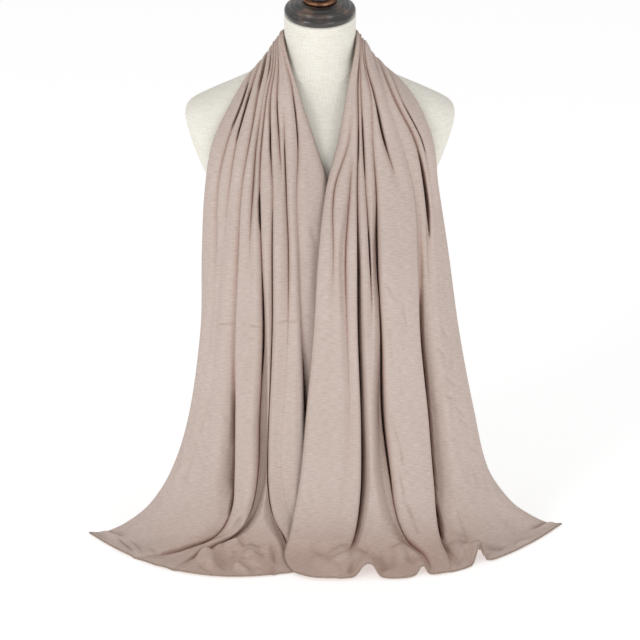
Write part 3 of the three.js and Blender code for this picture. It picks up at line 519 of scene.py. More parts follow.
def read_folds(places):
    """The folds' tables at places along the cloth: a column for each furrow, between two for the edges."""

    def columns(table, inner, outer, least=-np.inf, most=np.inf):
        values = np.clip(spline_at(KNOTS, table, places), least, most)
        edge = np.ones((len(places), 1))
        return np.concatenate([inner * edge, values, outer * edge], axis=1)

    return dict(
        at=columns(FURROW_AT, 0, 1),
        cut=columns(FURROW_CUT, EDGE_CUT, EDGE_CUT, 0, MOST_CUT),
        lap=columns(FURROW_LAP, 0, 0, -1, 1),
        gap=columns(FURROW_GAP, 0, 0, 0),
        soft=columns(FURROW_SOFT, 1, 1),
        crown=spline_at(KNOTS, CROWNS, places),
        depth=spline_at(KNOTS, SECTIONS[:, COLUMN["depth"]], places)[:, None],
        slope=spline_at(KNOTS, SLOPE, places)[:, None],
        roll=spline_at(KNOTS, ROLL, places)[:, None],
    )


def furrow_slit(folds, k, rows, aside, beside, room):
    """How far furrow k is a slit at each point, and how much painted shade its inside shows there, both from
    0 to 1.
    """
    cut = folds["cut"][:, [k]]
    lap = folds["lap"][:, [k]]
    opening, half = slit_at(rows, k)
    opening = np.maximum(opening, OPEN_SHARE * rising(cut, *OPEN_CUT)) * room
    # Where the cloth turns away, the lip that lies over stands further out, and the slit with it.
    turning = np.clip(beside[..., 1] / np.maximum(np.abs(beside[..., 0]), 0.1), 0, MOST_TURN)
    behind_lip = LIP_SHARE * folds["depth"] * turning * np.maximum(-lap, 0)
    aside = aside - behind_lip + 0.6 * half * lap
    slit = opening * np.exp(-((aside / half) ** 4))
    # Painted shade inside the furrow grows with its cut and with the folds' depth.
    folded = rising(cut, *FOLD_SHADE_CUT) * rising(folds["depth"], 3, 10)
    painted_fold_shade = FOLD_SHADE * folded * np.exp(-((aside / (half + FOLD_SHADE_MARGIN)) ** 2))
    return slit, painted_fold_shade


def furrow_side(folds, k, side, aside, room):
    """The dip and the overhang on one side of furrow k, from 0 to 1: side is 1 outwards, -1 inwards."""
    cut = folds["cut"][:, [k]]
    lap = folds["lap"][:, [k]]
    weight = 0.5 + 0.5 * side * lap
    away = np.maximum(side * aside, 0)
    past_gap = np.maximum(away - folds["gap"][:, [k]] * (1 - weight), 0)
    sharp = rising(cut, *SHARP_CUT)
    sloping = slope_side(past_gap / (folds["slope"] * folds["soft"][:, [k]]), sharp)
    rolling = roll_side(away / folds["roll"])
    dip = cut * (sloping + (rolling - sloping) * weight * sharp)
    strong = weight * np.minimum(cut, MOST_LEAN_CUT) * (0.4 + 0.6 * np.abs(lap)) * sharp
    lean = -side * strong * room * lean_of(away / folds["roll"])
    here = aside > 0 if side == 1 else aside <= 0
    return np.where(here, dip, 0), np.where(here, lean, 0)


def hem_arches(rows, share, width):
    """How far the right hem's arches lift the cloth, and how far they draw it back."""
    fade = eased(np.clip(1 - (LAST_SECTION - rows) / ARCH_REACH, 0, 1))[:, None]
    lift = np.zeros_like(share)
    drawn = np.zeros_like(share)
    for arch in HEM_ARCHES:
        aside = (share - arch["at"]) * width
        aside = aside / np.where(aside < 0, arch["in_half"], arch["out_half"])
        lift += arch["high"] * np.exp(-np.abs(aside) ** 3) * fade
        drawn += arch["back"] * np.exp(-aside * aside / 3) * fade
    return lift, drawn


CREASE_MARGIN = 0.6  # how many sections past its two ends a crease may still be felt


def crease_heights(rows, places, share, width_across):
    """How far the small creases lift or sink each point of the grid."""
    total = np.zeros_like(share)
    across = share * width_across[:, None]
    sections = np.arange(LAST_SECTION + 1)
    for sign, creases in ((-1, LEFT_CREASES), (1, RIGHT_CREASES)):
        for section, at, to_section, to_at, height, width in creases:
            ends = NAPE_INDEX + sign * (np.array([section, to_section]) + 1)
            near = np.abs(rows - ends.mean()) < np.abs(ends[1] - ends[0]) / 2 + CREASE_MARGIN
            if not near.any():
                continue
            end_places = np.interp(ends, sections, KNOTS)
            end_across = np.interp(ends, rows, width_across) * (at, to_at)
            line = np.array([end_places[1] - end_places[0], end_across[1] - end_across[0]])
            along = places[near, None] - end_places[0]
            beside = across[near] - end_across[0]
            t = (along * line[0] + beside * line[1]) / (line @ line)
            off = (along * line[1] - beside * line[0]) / np.linalg.norm(line)
            taper = np.clip(1 - np.abs(2 * t - 1) ** 3, 0, 1)
            total[near] += height * taper * np.exp(-((off / width) ** 2))
    return total


def spread_across(count):
    """A panel's points from 0 to 1, the last left out."""
    even = np.arange(count) / count
    crowded = (1 - np.cos(math.pi * even)) / 2
    return crowded * (1 - EVEN_SHARE) + even * EVEN_SHARE


ALONG_PROBE = 1.5  # how far up and down the cloth its direction is felt, in millimetres
ACROSS_PROBE = 0.004  # and how far to each side, as a share of the width


def cloth_grid(rows, steps):
    """Points of the cloth's middle surface for section numbers and each panel's steps across.

    The second grid says how much painted shade inside the folds each point shows, from 0 to 1.
    """
    places = np.interp(rows, np.arange(LAST_SECTION + 1), KNOTS)
    folds = read_folds(places)
    stops = np.concatenate([[0], np.cumsum(steps)])
    panel = np.concatenate([np.repeat(np.arange(PANELS), steps), [PANELS - 1]])
    across = np.concatenate([spread_across(count) for count in steps] + [[1]])
    at = folds["at"]
    share = at[:, panel] + (at[:, panel + 1] - at[:, panel]) * across
    lay = lay_at(places, share)
    gone = np.cumsum(np.linalg.norm(np.diff(lay, axis=1), axis=2), axis=1)
    run = np.concatenate([np.zeros((len(rows), 1)), gone], axis=1)

    dips = np.zeros_like(run)
    lean = np.zeros_like(run)
    slit = np.zeros_like(run)
    painted_fold_shade = np.zeros_like(run)
    for k, stop in enumerate(stops):
        aside = run - run[:, [stop]]
        room = 1
        if 0 < k < PANELS:
            room = np.clip((run[:, [stops[k + 1]]] - run[:, [stops[k - 1]]]) / FULL_ROOM, 0, 1)
            beside = lay[:, [stop + 1]] - lay[:, [stop - 1]]
            this_slit, this_fold_shade = furrow_slit(folds, k, rows, aside, beside, room)
            slit = np.maximum(slit, this_slit)
            painted_fold_shade = np.maximum(painted_fold_shade, this_fold_shade)
        for side in (1, -1):
            dip, over = furrow_side(folds, k, side, aside, room)
            dips += dip**MERGE
            lean += over
    dips = dips ** (1 / MERGE)

    crown, depth = folds["crown"], folds["depth"]
    blend = eased(1 - np.abs(2 * across - 1))
    before = crown[:, np.maximum(panel - 1, 0)]
    after = crown[:, np.minimum(panel + 1, PANELS - 1)]
    beside = np.where(across < 0.5, before, after)
    height = (crown[:, panel] + beside) / 2 * (1 - blend) + crown[:, panel] * blend
    lift, drawn = hem_arches(rows, share, run[:, -1:])
    rise = depth * height * (1 - dips) + lift + crease_heights(rows, places, share, run[:, -1])
    slit = SLIT * slit * np.clip(depth / FULL_DEPTH - 0.2, 0, 1)
    lean = OVERHANG * lean * np.clip(depth / FULL_DEPTH, 0, 1)

    along = lay_at(places + ALONG_PROBE, share) - lay_at(places - ALONG_PROBE, share)
    sideways = lay_at(places, np.minimum(1, share + ACROSS_PROBE))
    sideways = sideways - lay_at(places, np.maximum(0, share - ACROSS_PROBE))
    outward = unit(np.cross(along, sideways))
    points = lay + outward * rise[..., None] + unit(sideways) * lean[..., None] + INTO * slit[..., None]
    points[..., 1] += drawn

    # The right end's inner corner curls round.
    to_edge = np.clip(1 - run / CORNER_ROUND, 0, 1)
    to_hem = np.clip(1 - (KNOTS[-1] - places[:, None]) / CORNER_ROUND, 0, 1)
    from_edge = CORNER_ROUND * to_edge * (1 - np.sqrt(1 - to_hem**2 / 2))
    from_hem = CORNER_ROUND * to_hem * (1 - np.sqrt(1 - to_edge**2 / 2))
    points += unit(sideways) * from_edge[..., None] - unit(along) * from_hem[..., None]
    points = clear_of_form(points, FORM_GAP + CLOTH / 2)
    points[..., 2] = np.maximum(points[..., 2], CLOTH / 2)
    return points, painted_fold_shade


def grid_normals(points):
    along = np.gradient(points, axis=0)
    across = np.gradient(points, axis=1)
    return unit(np.cross(along, across))


# Making meshes.


def add_mesh(name, points, faces, uv=None):
    """A smooth mesh object from points in millimetres. uv holds one pair for each point."""
    mesh = bpy.data.meshes.new(name)
    mesh.from_pydata((np.asarray(points, float) * MM).tolist(), [], faces)
    mesh.polygons.foreach_set("use_smooth", [True] * len(mesh.polygons))
    if uv is not None:
        layer = mesh.uv_layers.new(name="cloth")
        corner = np.empty(len(mesh.loops), dtype=np.int64)
        mesh.loops.foreach_get("vertex_index", corner)
        layer.data.foreach_set("uv", np.asarray(uv, np.float32)[corner].ravel())
    mesh.update()
    piece = bpy.data.objects.new(name, mesh)
    bpy.context.scene.collection.objects.link(piece)
    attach(piece, "root")
    return piece


def grid_faces(rows, columns, offset=0, flip=False, ring=False):
    """Quads over a grid of points; ring joins the last column to the first."""
    r, c = np.meshgrid(np.arange(rows - 1), np.arange(columns if ring else columns - 1), indexing="ij")
    next_c = (c + 1) % columns
    corners = [r * columns + c, (r + 1) * columns + c, (r + 1) * columns + next_c, r * columns + next_c]
    quads = np.stack(corners, axis=-1).reshape(-1, 4) + offset
    return quads[:, ::-1].tolist() if flip else quads.tolist()


def end_fans(rings, sides):
    """Faces that close a stack of rings at its two ends, to two centre points that follow the rings."""
    last = (rings - 1) * sides
    centre = rings * sides
    faces = []
    for c in range(sides):
        d = (c + 1) % sides
        faces.append([centre, d, c])
        faces.append([centre + 1, last + c, last + d])
    return faces


FLOOR_SHARE = 0.9  # the cloth's upper side stays this share of its thickness off the floor


def shell(name, points, normals, uv, painted_fold_shade):
    """The cloth as a thin closed shell round its middle surface."""
    rows, columns = points.shape[:2]
    outer = points + normals * CLOTH / 2
    inner = points - normals * CLOTH / 2
    outer[..., 2] = np.maximum(outer[..., 2], CLOTH * FLOOR_SHARE)
    inner[..., 2] = np.maximum(inner[..., 2], 0)
    count = rows * columns
    faces = grid_faces(rows, columns) + grid_faces(rows, columns, offset=count, flip=True)
    rim = [(0, c) for c in range(columns)] + [(r, columns - 1) for r in range(1, rows)]
    rim += [(rows - 1, c) for c in range(columns - 2, -1, -1)] + [(r, 0) for r in range(rows - 2, 0, -1)]
    numbers = [r * columns + c for r, c in rim]
    for a, b in zip(numbers, numbers[1:] + numbers[:1]):
        faces.append([a, b, b + count, a + count])
    stacked = np.concatenate([outer.reshape(-1, 3), inner.reshape(-1, 3)])
    piece = add_mesh(name, stacked, faces, np.concatenate([uv.reshape(-1, 2)] * 2))
    both_sides = np.concatenate([normals.reshape(-1, 3), -normals.reshape(-1, 3)])
    piece.data.normals_split_custom_set_from_vertices(both_sides.tolist())
    # Each point keeps how much painted shade it shows inside the folds, for the cloth's material.
    tone = piece.data.attributes.new("painted_shade_in_folds", "FLOAT", "POINT")
    tone.data.foreach_set("value", np.tile(painted_fold_shade.ravel(), 2).astype(np.float32))
    return piece


def cloth_uv(points):
    """Each point's place on the flat cloth, in metres: across the width, and along the length."""
    step_u = np.linalg.norm(np.diff(points, axis=1), axis=2)
    u = np.concatenate([np.zeros((len(points), 1)), np.cumsum(step_u, axis=1)], axis=1)
    u = u - u[:, -1:] / 2
    step_v = np.linalg.norm(np.diff(points, axis=0), axis=2).mean(axis=1)
    v = np.concatenate([[0], np.cumsum(step_v)])[:, None] + np.zeros_like(u)
    return np.stack([u, v], axis=-1) * MM


THREAD_SIDES = 8
THREAD_RELIEF = 0.16  # how far the wound thread stands out, as a share of the roll's radius
THREAD_ROUND = 0.006  # once round the roll, on its pattern, in metres


def edge_roll(name, line, across, radius, pitch, step):
    """The overlocked edge: thread wound round the cloth's cut edge, as a rope along a line of points.

    across is a direction that the line never runs in.
    """
    gaps = np.linalg.norm(np.diff(line, axis=0), axis=1)
    length = np.concatenate([[0], np.cumsum(gaps)])
    count = int(length[-1] / step)
    places = np.linspace(0, length[-1], count)
    centre = np.stack([np.interp(places, length, line[:, k]) for k in range(3)], axis=1)
    forward = unit(np.gradient(centre, axis=0))
    side = unit(np.cross(forward, across))
    up = np.cross(side, forward)
    turn = 2 * math.pi * np.arange(THREAD_SIDES) / THREAD_SIDES
    wound = radius * (1 + THREAD_RELIEF * np.sin(2 * math.pi * places[:, None] / pitch + turn[None, :]))
    ring = side[:, None, :] * np.cos(turn)[None, :, None] + up[:, None, :] * np.sin(turn)[None, :, None]
    points = centre[:, None, :] + ring * wound[..., None]
    points[..., 2] = np.maximum(points[..., 2], 0)
    faces = grid_faces(count, THREAD_SIDES, ring=True)
    faces.append(list(range(THREAD_SIDES)))
    faces.append([(count - 1) * THREAD_SIDES + k for k in range(THREAD_SIDES)][::-1])
    u = np.broadcast_to(turn[None, :] / (2 * math.pi), (count, THREAD_SIDES))
    v = np.broadcast_to(places[:, None] * MM, (count, THREAD_SIDES))
    uv = np.stack([u * THREAD_ROUND, v], axis=-1).reshape(-1, 2)
    return add_mesh(name, points.reshape(-1, 3), faces, uv)


# The scarf.

SEAM_SECTIONS = 2  # the nape's stretch ends so many sections from its middle
LEFT_SEAM = NAPE_INDEX - SEAM_SECTIONS
RIGHT_SEAM = NAPE_INDEX + SEAM_SECTIONS
FALL_ROWS, NAPE_ROWS = 240, 90
STEPS = [18, 19, 14, 14, 50, 15, 19, 15, 17, 17]

# How close the rows lie, by section: closer where the cloth bends onto the floor, and much closer at its
# pressed crease.
ROW_CLOSENESS = ((0, 0.8), (4, 0.8), (8.6, 0.9), (9.6, 1.8), (12, 1.8))
PRESSED_SECTION = 5.87
PRESSED_CLOSENESS = 3.5
PRESSED_SPREAD = 0.04
FINE_PLACES = 4001


def graded_rows(start, end, count):
    """Section numbers of a stretch's rows."""
    fine = np.linspace(start, end, FINE_PLACES)
    away = np.abs(fine - NAPE_INDEX) - 1
    sections, closeness = np.array(ROW_CLOSENESS).T
    pressed = PRESSED_CLOSENESS * np.exp(-(((away - PRESSED_SECTION) / PRESSED_SPREAD) ** 2))
    weight = np.interp(away, sections, closeness) + pressed
    places = np.interp(fine, np.arange(LAST_SECTION + 1), KNOTS)
    middle = (weight[1:] + weight[:-1]) / 2
    sums = np.concatenate([[0], np.cumsum(middle * np.diff(places))])
    return np.interp(np.linspace(0, sums[-1], count + 1), sums, fine)


left_rows = graded_rows(0, LEFT_SEAM, FALL_ROWS)
nape_rows = graded_rows(LEFT_SEAM, RIGHT_SEAM, NAPE_ROWS)
right_rows = graded_rows(RIGHT_SEAM, LAST_SECTION, FALL_ROWS)
cloth_points, cloth_fold_shade = cloth_grid(np.concatenate([left_rows, nape_rows[1:], right_rows[1:]]), STEPS)
cloth_normals = grid_normals(cloth_points)
flat_places = cloth_uv(cloth_points)

EDGE_RADIUS = 1.2
EDGE_PITCH = 3.4  # how far one turn of the thread goes along the edge
EDGE_STEP = 1.1

pieces = {}
edges = {}
for key, first, count in (
    ("scarf_left_fall", 0, FALL_ROWS),
    ("scarf_nape", FALL_ROWS, NAPE_ROWS),
    ("scarf_right_fall", FALL_ROWS + NAPE_ROWS, FALL_ROWS),
):
    part = slice(first, first + count + 1)
    points = cloth_points[part]
    pieces[key] = shell(key + "_cloth", points, cloth_normals[part], flat_places[part], cloth_fold_shade[part])
    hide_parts(key)
    if key == "scarf_nape":
        lines = {"inner": (points[:, 0], (0, 0, 1)), "outer": (points[:, -1], (0, 0, 1))}
    else:
        lines = {"inner": (points[:, 0], (1, 0, 0)), "outer": (points[:, -1], (0, 1, 0))}
        lines["hem"] = (points[0] if key == "scarf_left_fall" else points[-1], (0, 1, 0))
    edges[key] = [
        edge_roll(f"{key}_{side}_edge", line, across, EDGE_RADIUS, EDGE_PITCH, EDGE_STEP)
        for side, (line, across) in lines.items()
    ]


# The form and its cap.

FORM_TOP = RING_TABLE[-1, 0]
FORM_BEND = (560, 565)  # the levels lie closer above here, where the shoulders are
FORM_LEVELS = 90  # in each of the two parts
FORM_SIDES = 128


def power_curve(value, exponent):
    return np.sign(value) * np.abs(value) ** exponent


def ring_points(z, angle):
    """Points on the form's surface at heights z and angles round it, both in one shape."""
    ring = ring_at(z)
    x = ring["side"] * power_curve(np.cos(angle), 2 / ring["power"])
    deep = np.where(np.sin(angle) < 0, front_depth(ring, x), ring["back"])
    y = deep * power_curve(np.sin(angle), 2 / ring["power"])
    return np.stack([x, ring["axis"] + y, z + ring["tilt"] * y], axis=-1)


def add_form():
    low = np.linspace(0, FORM_BEND[0], FORM_LEVELS)
    high = np.linspace(FORM_BEND[1], FORM_TOP, FORM_LEVELS)
    angle = 2 * math.pi * np.arange(FORM_SIDES) / FORM_SIDES
    z, a = np.meshgrid(np.concatenate([low, high]), angle, indexing="ij")
    top = [0, RING_TABLE[-1, 4], FORM_TOP]
    points = np.concatenate([ring_points(z, a).reshape(-1, 3), [[0, 0, 0], top]])
    faces = grid_faces(len(z), FORM_SIDES, ring=True, flip=True) + end_fans(len(z), FORM_SIDES)
    form = add_mesh("form_cover", points, faces)
    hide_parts("form_body")
    return form


form = add_form()

# The seam between the cover's neck and body, sewn round the root of the neck.
NECK_SEAM_HEIGHT = 706
NECK_SEAM_DROP = 30  # how far it dips in front
NECK_SEAM_PLACES = 161
seam_turn = np.linspace(0, 2 * math.pi, NECK_SEAM_PLACES)
seam_height = NECK_SEAM_HEIGHT - NECK_SEAM_DROP * np.maximum(-np.sin(seam_turn), 0) ** 6
seam_line = ring_points(seam_height, seam_turn)
neck_seam = edge_roll("form_neck_seam", seam_line, (0, 0, 1), radius=0.55, pitch=3, step=1.5)

# The turned pieces' outlines, as radius and height above the neck's cut top, which leans forward.
CAP_TILT = math.atan(0.23)
CAP_PLACE = (-18, 772.3)
CAP_PROFILE = [
    (0, 0), (47.5, 0), (48.8, 0.5), (49.6, 1.6), (50, 4), (49.8, 6.2), (48.9, 8.2), (47.3, 9.8),
    (45.4, 10.7), (43.8, 10.9), (43.1, 11.5), (43.1, 12.6), (42.6, 14.3), (41.4, 15.8), (39.7, 16.7),
    (38.1, 16.8), (37.2, 16.3), (36.5, 16.5), (36, 17.4), (34.9, 18.6), (33.2, 19.4), (31.4, 19.6),
    (29.8, 19.3), (29, 18.8), (28.2, 18.9), (27, 19.5), (16, 19.7), (0, 19.7),
]
RING_PROFILE = [
    (16.3, 20), (23, 20), (24.2, 20.5), (24.9, 21.8), (25, 23.2), (24.5, 24.6), (23.4, 25.7),
    (21.8, 26.3), (20.2, 26.4), (18.4, 26.1), (16.3, 25.6), (16.3, 20),
]
KNOB_PROFILE = [
    (0, 20), (16, 20), (16, 26.4), (15, 28), (13.2, 30.4), (12, 32.8), (11.6, 34.6), (11.8, 36),
    (12.8, 37.2), (15.2, 38.6), (17.8, 40.8), (19.9, 43.6), (21.4, 47), (22, 50.6), (21.9, 54),
    (21, 57.8), (19, 61.6), (16.2, 64.9), (12.4, 67.6), (8, 69.5), (4, 70.3), (0, 70.5),
]
TURNED_SIDES = 96


def add_turned(name, profile, node):
    """A turned piece on the neck's cut top, solid or, where its outline stays off the middle, a ring."""
    turn = 2 * math.pi * np.arange(TURNED_SIDES) / TURNED_SIDES
    profile = np.array(profile, float)
    solid = profile[0, 0] == 0
    outline = profile[1:-1] if solid else profile[:-1]
    radius, height = outline[:, :1], outline[:, 1:]
    rings = [radius * np.cos(turn), radius * np.sin(turn), height + np.zeros(TURNED_SIDES)]
    points = np.stack(rings, axis=-1).reshape(-1, 3)
    count = len(outline)
    faces = grid_faces(count, TURNED_SIDES, ring=True, flip=True)
    if solid:
        points = np.concatenate([points, [[0, 0, profile[0, 1]], [0, 0, profile[-1, 1]]]])
        faces += end_fans(count, TURNED_SIDES)
    else:
        last = (count - 1) * TURNED_SIDES
        for c in range(TURNED_SIDES):
            d = (c + 1) % TURNED_SIDES
            faces.append([last + c, last + d, d, c])
    cos, sin = math.cos(CAP_TILT), math.sin(CAP_TILT)
    y = points[:, 1] * cos - points[:, 2] * sin + CAP_PLACE[0]
    z = points[:, 1] * sin + points[:, 2] * cos + CAP_PLACE[1]
    piece = add_mesh(name, np.stack([points[:, 0], y, z], axis=1), faces)
    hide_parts(node)
    return piece


cap = add_turned("cap_turning", CAP_PROFILE, "neck_cap")
cap_ring = add_turned("ring_turning", RING_PROFILE, "cap_ring")
knob = add_turned("knob_turning", KNOB_PROFILE, "cap_knob")


# Materials. Patterns are given in cells to the metre.


def linear(code):
    """An sRGB hex colour as linear RGBA."""
    parts = [int(code[k : k + 2], 16) / 255 for k in (0, 2, 4)]
    return tuple(c / 12.92 if c <= 0.04045 else ((c + 0.055) / 1.055) ** 2.4 for c in parts) + (1.0,)


def new_material(name):
    material = bpy.data.materials.new(name)
    material.use_nodes = True
    return material, material.node_tree.nodes["Principled BSDF"]


def set_node(material, node, settings, links):
    """Fills a node: settings are its attributes or, with a # before the name, its sockets' values."""
    for key, value in settings.items():
        if key.startswith("#"):
            node.inputs[int(key[1:]) if key[1:].isdigit() else key[1:]].default_value = value
        else:
            setattr(node, key, value)
    for key, socket in links.items():
        material.node_tree.links.new(socket, node.inputs[int(key) if key.isdigit() else key])


def add_node(material, kind, settings=None, links=None):
    node = material.node_tree.nodes.new("ShaderNode" + kind)
    set_node(material, node, settings or {}, links or {})
    return node


def flat_place(material):
    """A point's place on the flat cloth."""
    return add_node(material, "UVMap", {"uv_map": "cloth"}).outputs[0]


def scene_place(material):
    return add_node(material, "NewGeometry").outputs["Position"]


def add_noise(material, place, cells, detail=2, roughness=0.5):
    """Noise with so many cells along each axis of a place."""
    stretched = add_node(material, "Mapping", {"#Scale": cells}, {"Vector": place})
    settings = {"#Scale": 1, "#Detail": detail, "#Roughness": roughness}
    return add_node(material, "TexNoise", settings, {"Vector": stretched.outputs[0]}).outputs[0]


def add_math(material, operation, *values):
    """A sum or product of sockets and plain numbers."""
    links = {str(k): value for k, value in enumerate(values) if not isinstance(value, (int, float))}
    settings = {f"#{k}": value for k, value in enumerate(values) if isinstance(value, (int, float))}
    settings["operation"] = operation
    return add_node(material, "Math", settings, links).outputs[0]


def add_ramp(material, value, stops):
    """A colour ramp through (position, sRGB hex colour) stops."""
    node = add_node(material, "ValToRGB", links={"Fac": value})
    ramp = node.color_ramp
    while len(ramp.elements) > 1:
        ramp.elements.remove(ramp.elements[-1])
    ramp.elements[0].position = stops[0][0]
    ramp.elements[0].color = linear(stops[0][1])
    for position, code in stops[1:]:
        ramp.elements.new(position).color = linear(code)
    return node.outputs[0]


def add_range(material, value, start, end, low, high):
    """low at start and high at end, even in between and level past them."""
    settings = {"#From Min": start, "#From Max": end, "#To Min": low, "#To Max": high}
    return add_node(material, "MapRange", settings, {"Value": value}).outputs[0]


def add_tint(material, share, colour, code):
    """A colour multiplied by a tint, as far as share says."""
    settings = {"blend_type": "MULTIPLY", "#Color2": linear(code)}
    return add_node(material, "MixRGB", settings, {"Fac": share, "Color1": colour}).outputs[0]


def clouded(name, where, cells, stops, settings, detail=2, roughness=0.5):
    """A material whose colour follows one noise through a ramp."""
    material, surface = new_material(name)
    cloud = add_noise(material, where(material), cells, detail, roughness)
    set_node(material, surface, settings, {"Base Color": add_ramp(material, cloud, stops)})
    return material


WAVE_UNIT = 0.314  # the scale at which a wave texture's bands lie one unit apart


# Cotton and viscose single jersey, piece-dyed dusty taupe. The slubby yarn leaves short pale and dark
# streaks across the cloth, and the knit's columns run along it. It is matt with a soft bloom at its edges.
def jersey_knit():
    material, surface = new_material("cotton_viscose_jersey")
    flat = flat_place(material)
    # Streaks 11 mm long and 1.2 mm thick, coarser than the real ones so that they show, on faint clouds in
    # the dye a decimetre across.
    streaks = add_noise(material, flat, (90, 850, 1), detail=3, roughness=0.6)
    dye = add_noise(material, flat, (9, 9, 1))
    mixed = add_math(material, "MULTIPLY_ADD", dye, 0.2, streaks)
    dyed = add_ramp(material, mixed, [(0.38, "bba99f"), (0.6, "c9b8af"), (0.82, "d5c6be")])
    # Painted shade: where it lies on the floor, towards the middle, the cloth is a little deeper and warmer.
    level = add_node(material, "SeparateXYZ", links={"Vector": scene_place(material)})
    low = add_range(material, level.outputs["Z"], 0.05, 0.01, 0, 0.42)
    middle = add_range(material, add_math(material, "ABSOLUTE", level.outputs["X"]), 0.16, 0.26, 1, 0.1)
    floor_shaded = add_tint(material, add_math(material, "MULTIPLY", low, middle), dyed, "f6ded3")
    # Painted shade: inside its folds the cloth is tinted a darker, redder brown, for the shade there.
    painted_fold_shade = add_node(material, "Attribute", {"attribute_name": "painted_shade_in_folds"}).outputs["Fac"]
    colour = add_tint(material, painted_fold_shade, floor_shaded, "e4b8a5")
    # Knit columns, drawn 1.5 mm apart where the real ones are 0.8 mm, so that they show.
    columns = add_node(material, "Mapping", {"#Scale": (666, 1, 1)}, {"Vector": flat}).outputs[0]
    settings = {"wave_type": "BANDS", "bands_direction": "X", "#Scale": WAVE_UNIT}
    ribs = add_node(material, "TexWave", settings, {"Vector": columns}).outputs["Fac"]
    height = add_math(material, "MULTIPLY_ADD", ribs, 0.35, streaks)
    # Soft crumples a centimetre or two across, left from being folded in its bag.
    crumple = add_noise(material, flat, (95, 60, 1))
    soft = add_node(material, "Bump", {"#Strength": 0.5, "#Distance": 0.0014}, {"Height": crumple})
    relief = {"Height": height, "Normal": soft.outputs[0]}
    bump = add_node(material, "Bump", {"#Strength": 0.25, "#Distance": 0.0004}, relief)
    settings = {
        "#Roughness": 0.88,
        "#IOR": 1.5,
        "#Specular IOR Level": 0.2,
        "#Sheen Weight": 0.12,
        "#Sheen Roughness": 0.5,
        "#Sheen Tint": linear("e9d9cf"),
    }
    set_node(material, surface, settings, {"Base Color": colour, "Normal": bump.outputs[0]})
    return material


# Spun polyester overlock thread, a shade darker than the cloth, wound round its cut edge. Its turns show
# as flecks 1.1 mm wide that reach round the edge.
def overlock_thread():
    stops = [(0.3, "8f7c70"), (0.7, "b5a294")]
    settings = {"#Roughness": 0.75, "#IOR": 1.5}
    return clouded("spun_polyester_overlock_thread", flat_place, (160, 900, 1), stops, settings)


# Plain-woven natural linen stretched and glued over the form. Its uneven yarns show as level and upright
# threads 17 mm long and 1.1 mm thick, coarser than the real ones so that they show. It is matt.
def woven_linen():
    material, surface = new_material("plain_woven_linen")
    place = scene_place(material)
    weft = add_noise(material, place, (60, 60, 900))
    warp = add_noise(material, place, (900, 900, 60))
    weave = add_math(material, "ADD", weft, warp)
    colour = add_ramp(material, weave, [(0.7, "e8e3d7"), (1.0, "eeeadf"), (1.3, "f3f0e6")])
    bump = add_node(material, "Bump", {"#Strength": 0.12, "#Distance": 0.0002}, {"Height": weave})
    settings = {"#Roughness": 0.9, "#IOR": 1.5, "#Specular IOR Level": 0.2}
    set_node(material, surface, settings, {"Base Color": colour, "Normal": bump.outputs[0]})
    return material


# Turned wood under black-brown lacquer, rubbed through to brown in patches a centimetre or two across,
# with a clear glossy coat.
def rubbed_lacquer():
    stops = [(0.38, "232120"), (0.52, "34302d"), (0.62, "57443a"), (0.74, "7d5f4d")]
    settings = {"#Roughness": 0.36, "#IOR": 1.52, "#Coat Weight": 0.6, "#Coat Roughness": 0.12}
    return clouded("rubbed_black_lacquer_on_wood", scene_place, (45, 45, 90), stops, settings, 4, 0.6)


# Cast bronze, browned with age and rubbed brighter in patches a centimetre across, with a satin gloss.
def aged_bronze():
    stops = [(0.35, "6b4a38"), (0.65, "a67c60")]
    settings = {"#Metallic": 1.0, "#Roughness": 0.38}
    return clouded("aged_bronze", scene_place, (120, 120, 120), stops, settings, detail=4)


# Matt white studio paper. Its own faint glow keeps it white where the lights fall off.
def studio_paper():
    material, surface = new_material("white_studio_paper")
    settings = {
        "#Base Color": linear("f7f7f7"),
        "#Emission Color": linear("ffffff"),
        "#Emission Strength": 0.4,
        "#Roughness": 1.0,
        "#Specular IOR Level": 0.0,
    }
    set_node(material, surface, settings, {})
    return material


def dress(piece, material):
    piece.data.materials.clear()
    piece.data.materials.append(material)


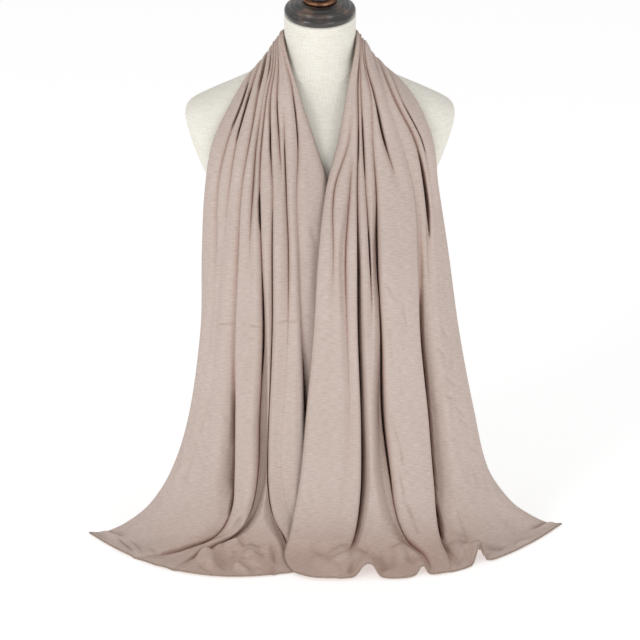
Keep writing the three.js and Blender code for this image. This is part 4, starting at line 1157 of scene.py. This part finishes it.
knit = jersey_knit()
thread = overlock_thread()
for key, piece in pieces.items():
    dress(piece, knit)
    for edge in edges[key]:
        dress(edge, thread)
linen = woven_linen()
dress(form, linen)
dress(neck_seam, linen)
lacquer = rubbed_lacquer()
dress(cap, lacquer)
dress(knob, lacquer)
dress(cap_ring, aged_bronze())


# Floor, light and camera.

PAPER_HALF = 8
PAPER_DROP = 0.0005  # keeps the paper just under the cloth
WORLD_LIGHT = 0.6
LIGHT_TARGET = (0, 0, 0.35)

paper_corners = [(x * PAPER_HALF, y * PAPER_HALF, 0) for x, y in ((-1, -1), (1, -1), (1, 1), (-1, 1))]
floor_mesh = bpy.data.meshes.new("floor")
floor_mesh.from_pydata(paper_corners, [], [(0, 1, 2, 3)])
floor = bpy.data.objects.new("floor", floor_mesh)
floor.location.z = -PAPER_DROP
bpy.context.scene.collection.objects.link(floor)
dress(floor, studio_paper())

world = bpy.data.worlds.new("studio")
world.use_nodes = True
background = world.node_tree.nodes["Background"]
background.inputs["Color"].default_value = (1, 1, 1, 1)
background.inputs["Strength"].default_value = WORLD_LIGHT
bpy.context.scene.world = world


def add_softbox(name, place, size, power):
    light = bpy.data.lights.new(name, "AREA")
    light.shape = "RECTANGLE"
    light.size, light.size_y = size
    light.energy = power
    box = bpy.data.objects.new(name, light)
    box.location = place
    box.rotation_euler = (Vector(LIGHT_TARGET) - Vector(place)).to_track_quat("-Z", "Y").to_euler()
    bpy.context.scene.collection.objects.link(box)


add_softbox("front_left_softbox", place=(-3.6, -4.2, 2.4), size=(1.8, 2.2), power=62)
add_softbox("front_right_softbox", place=(3.4, -4.8, 1.6), size=(2.2, 2.6), power=43)

CAMERA_LENS = 122.1
CAMERA_PLACE = (0, -3.0, 1.4393)
CAMERA_DOWN = 20.66
lens = bpy.data.cameras.new("camera")
lens.lens = CAMERA_LENS
lens.sensor_width = 36
camera = bpy.data.objects.new("camera", lens)
camera.location = CAMERA_PLACE
camera.rotation_euler = (math.radians(90 - CAMERA_DOWN), 0, 0)
bpy.context.scene.collection.objects.link(camera)
bpy.context.scene.camera = camera
bpy.context.scene.view_settings.view_transform = "Standard"
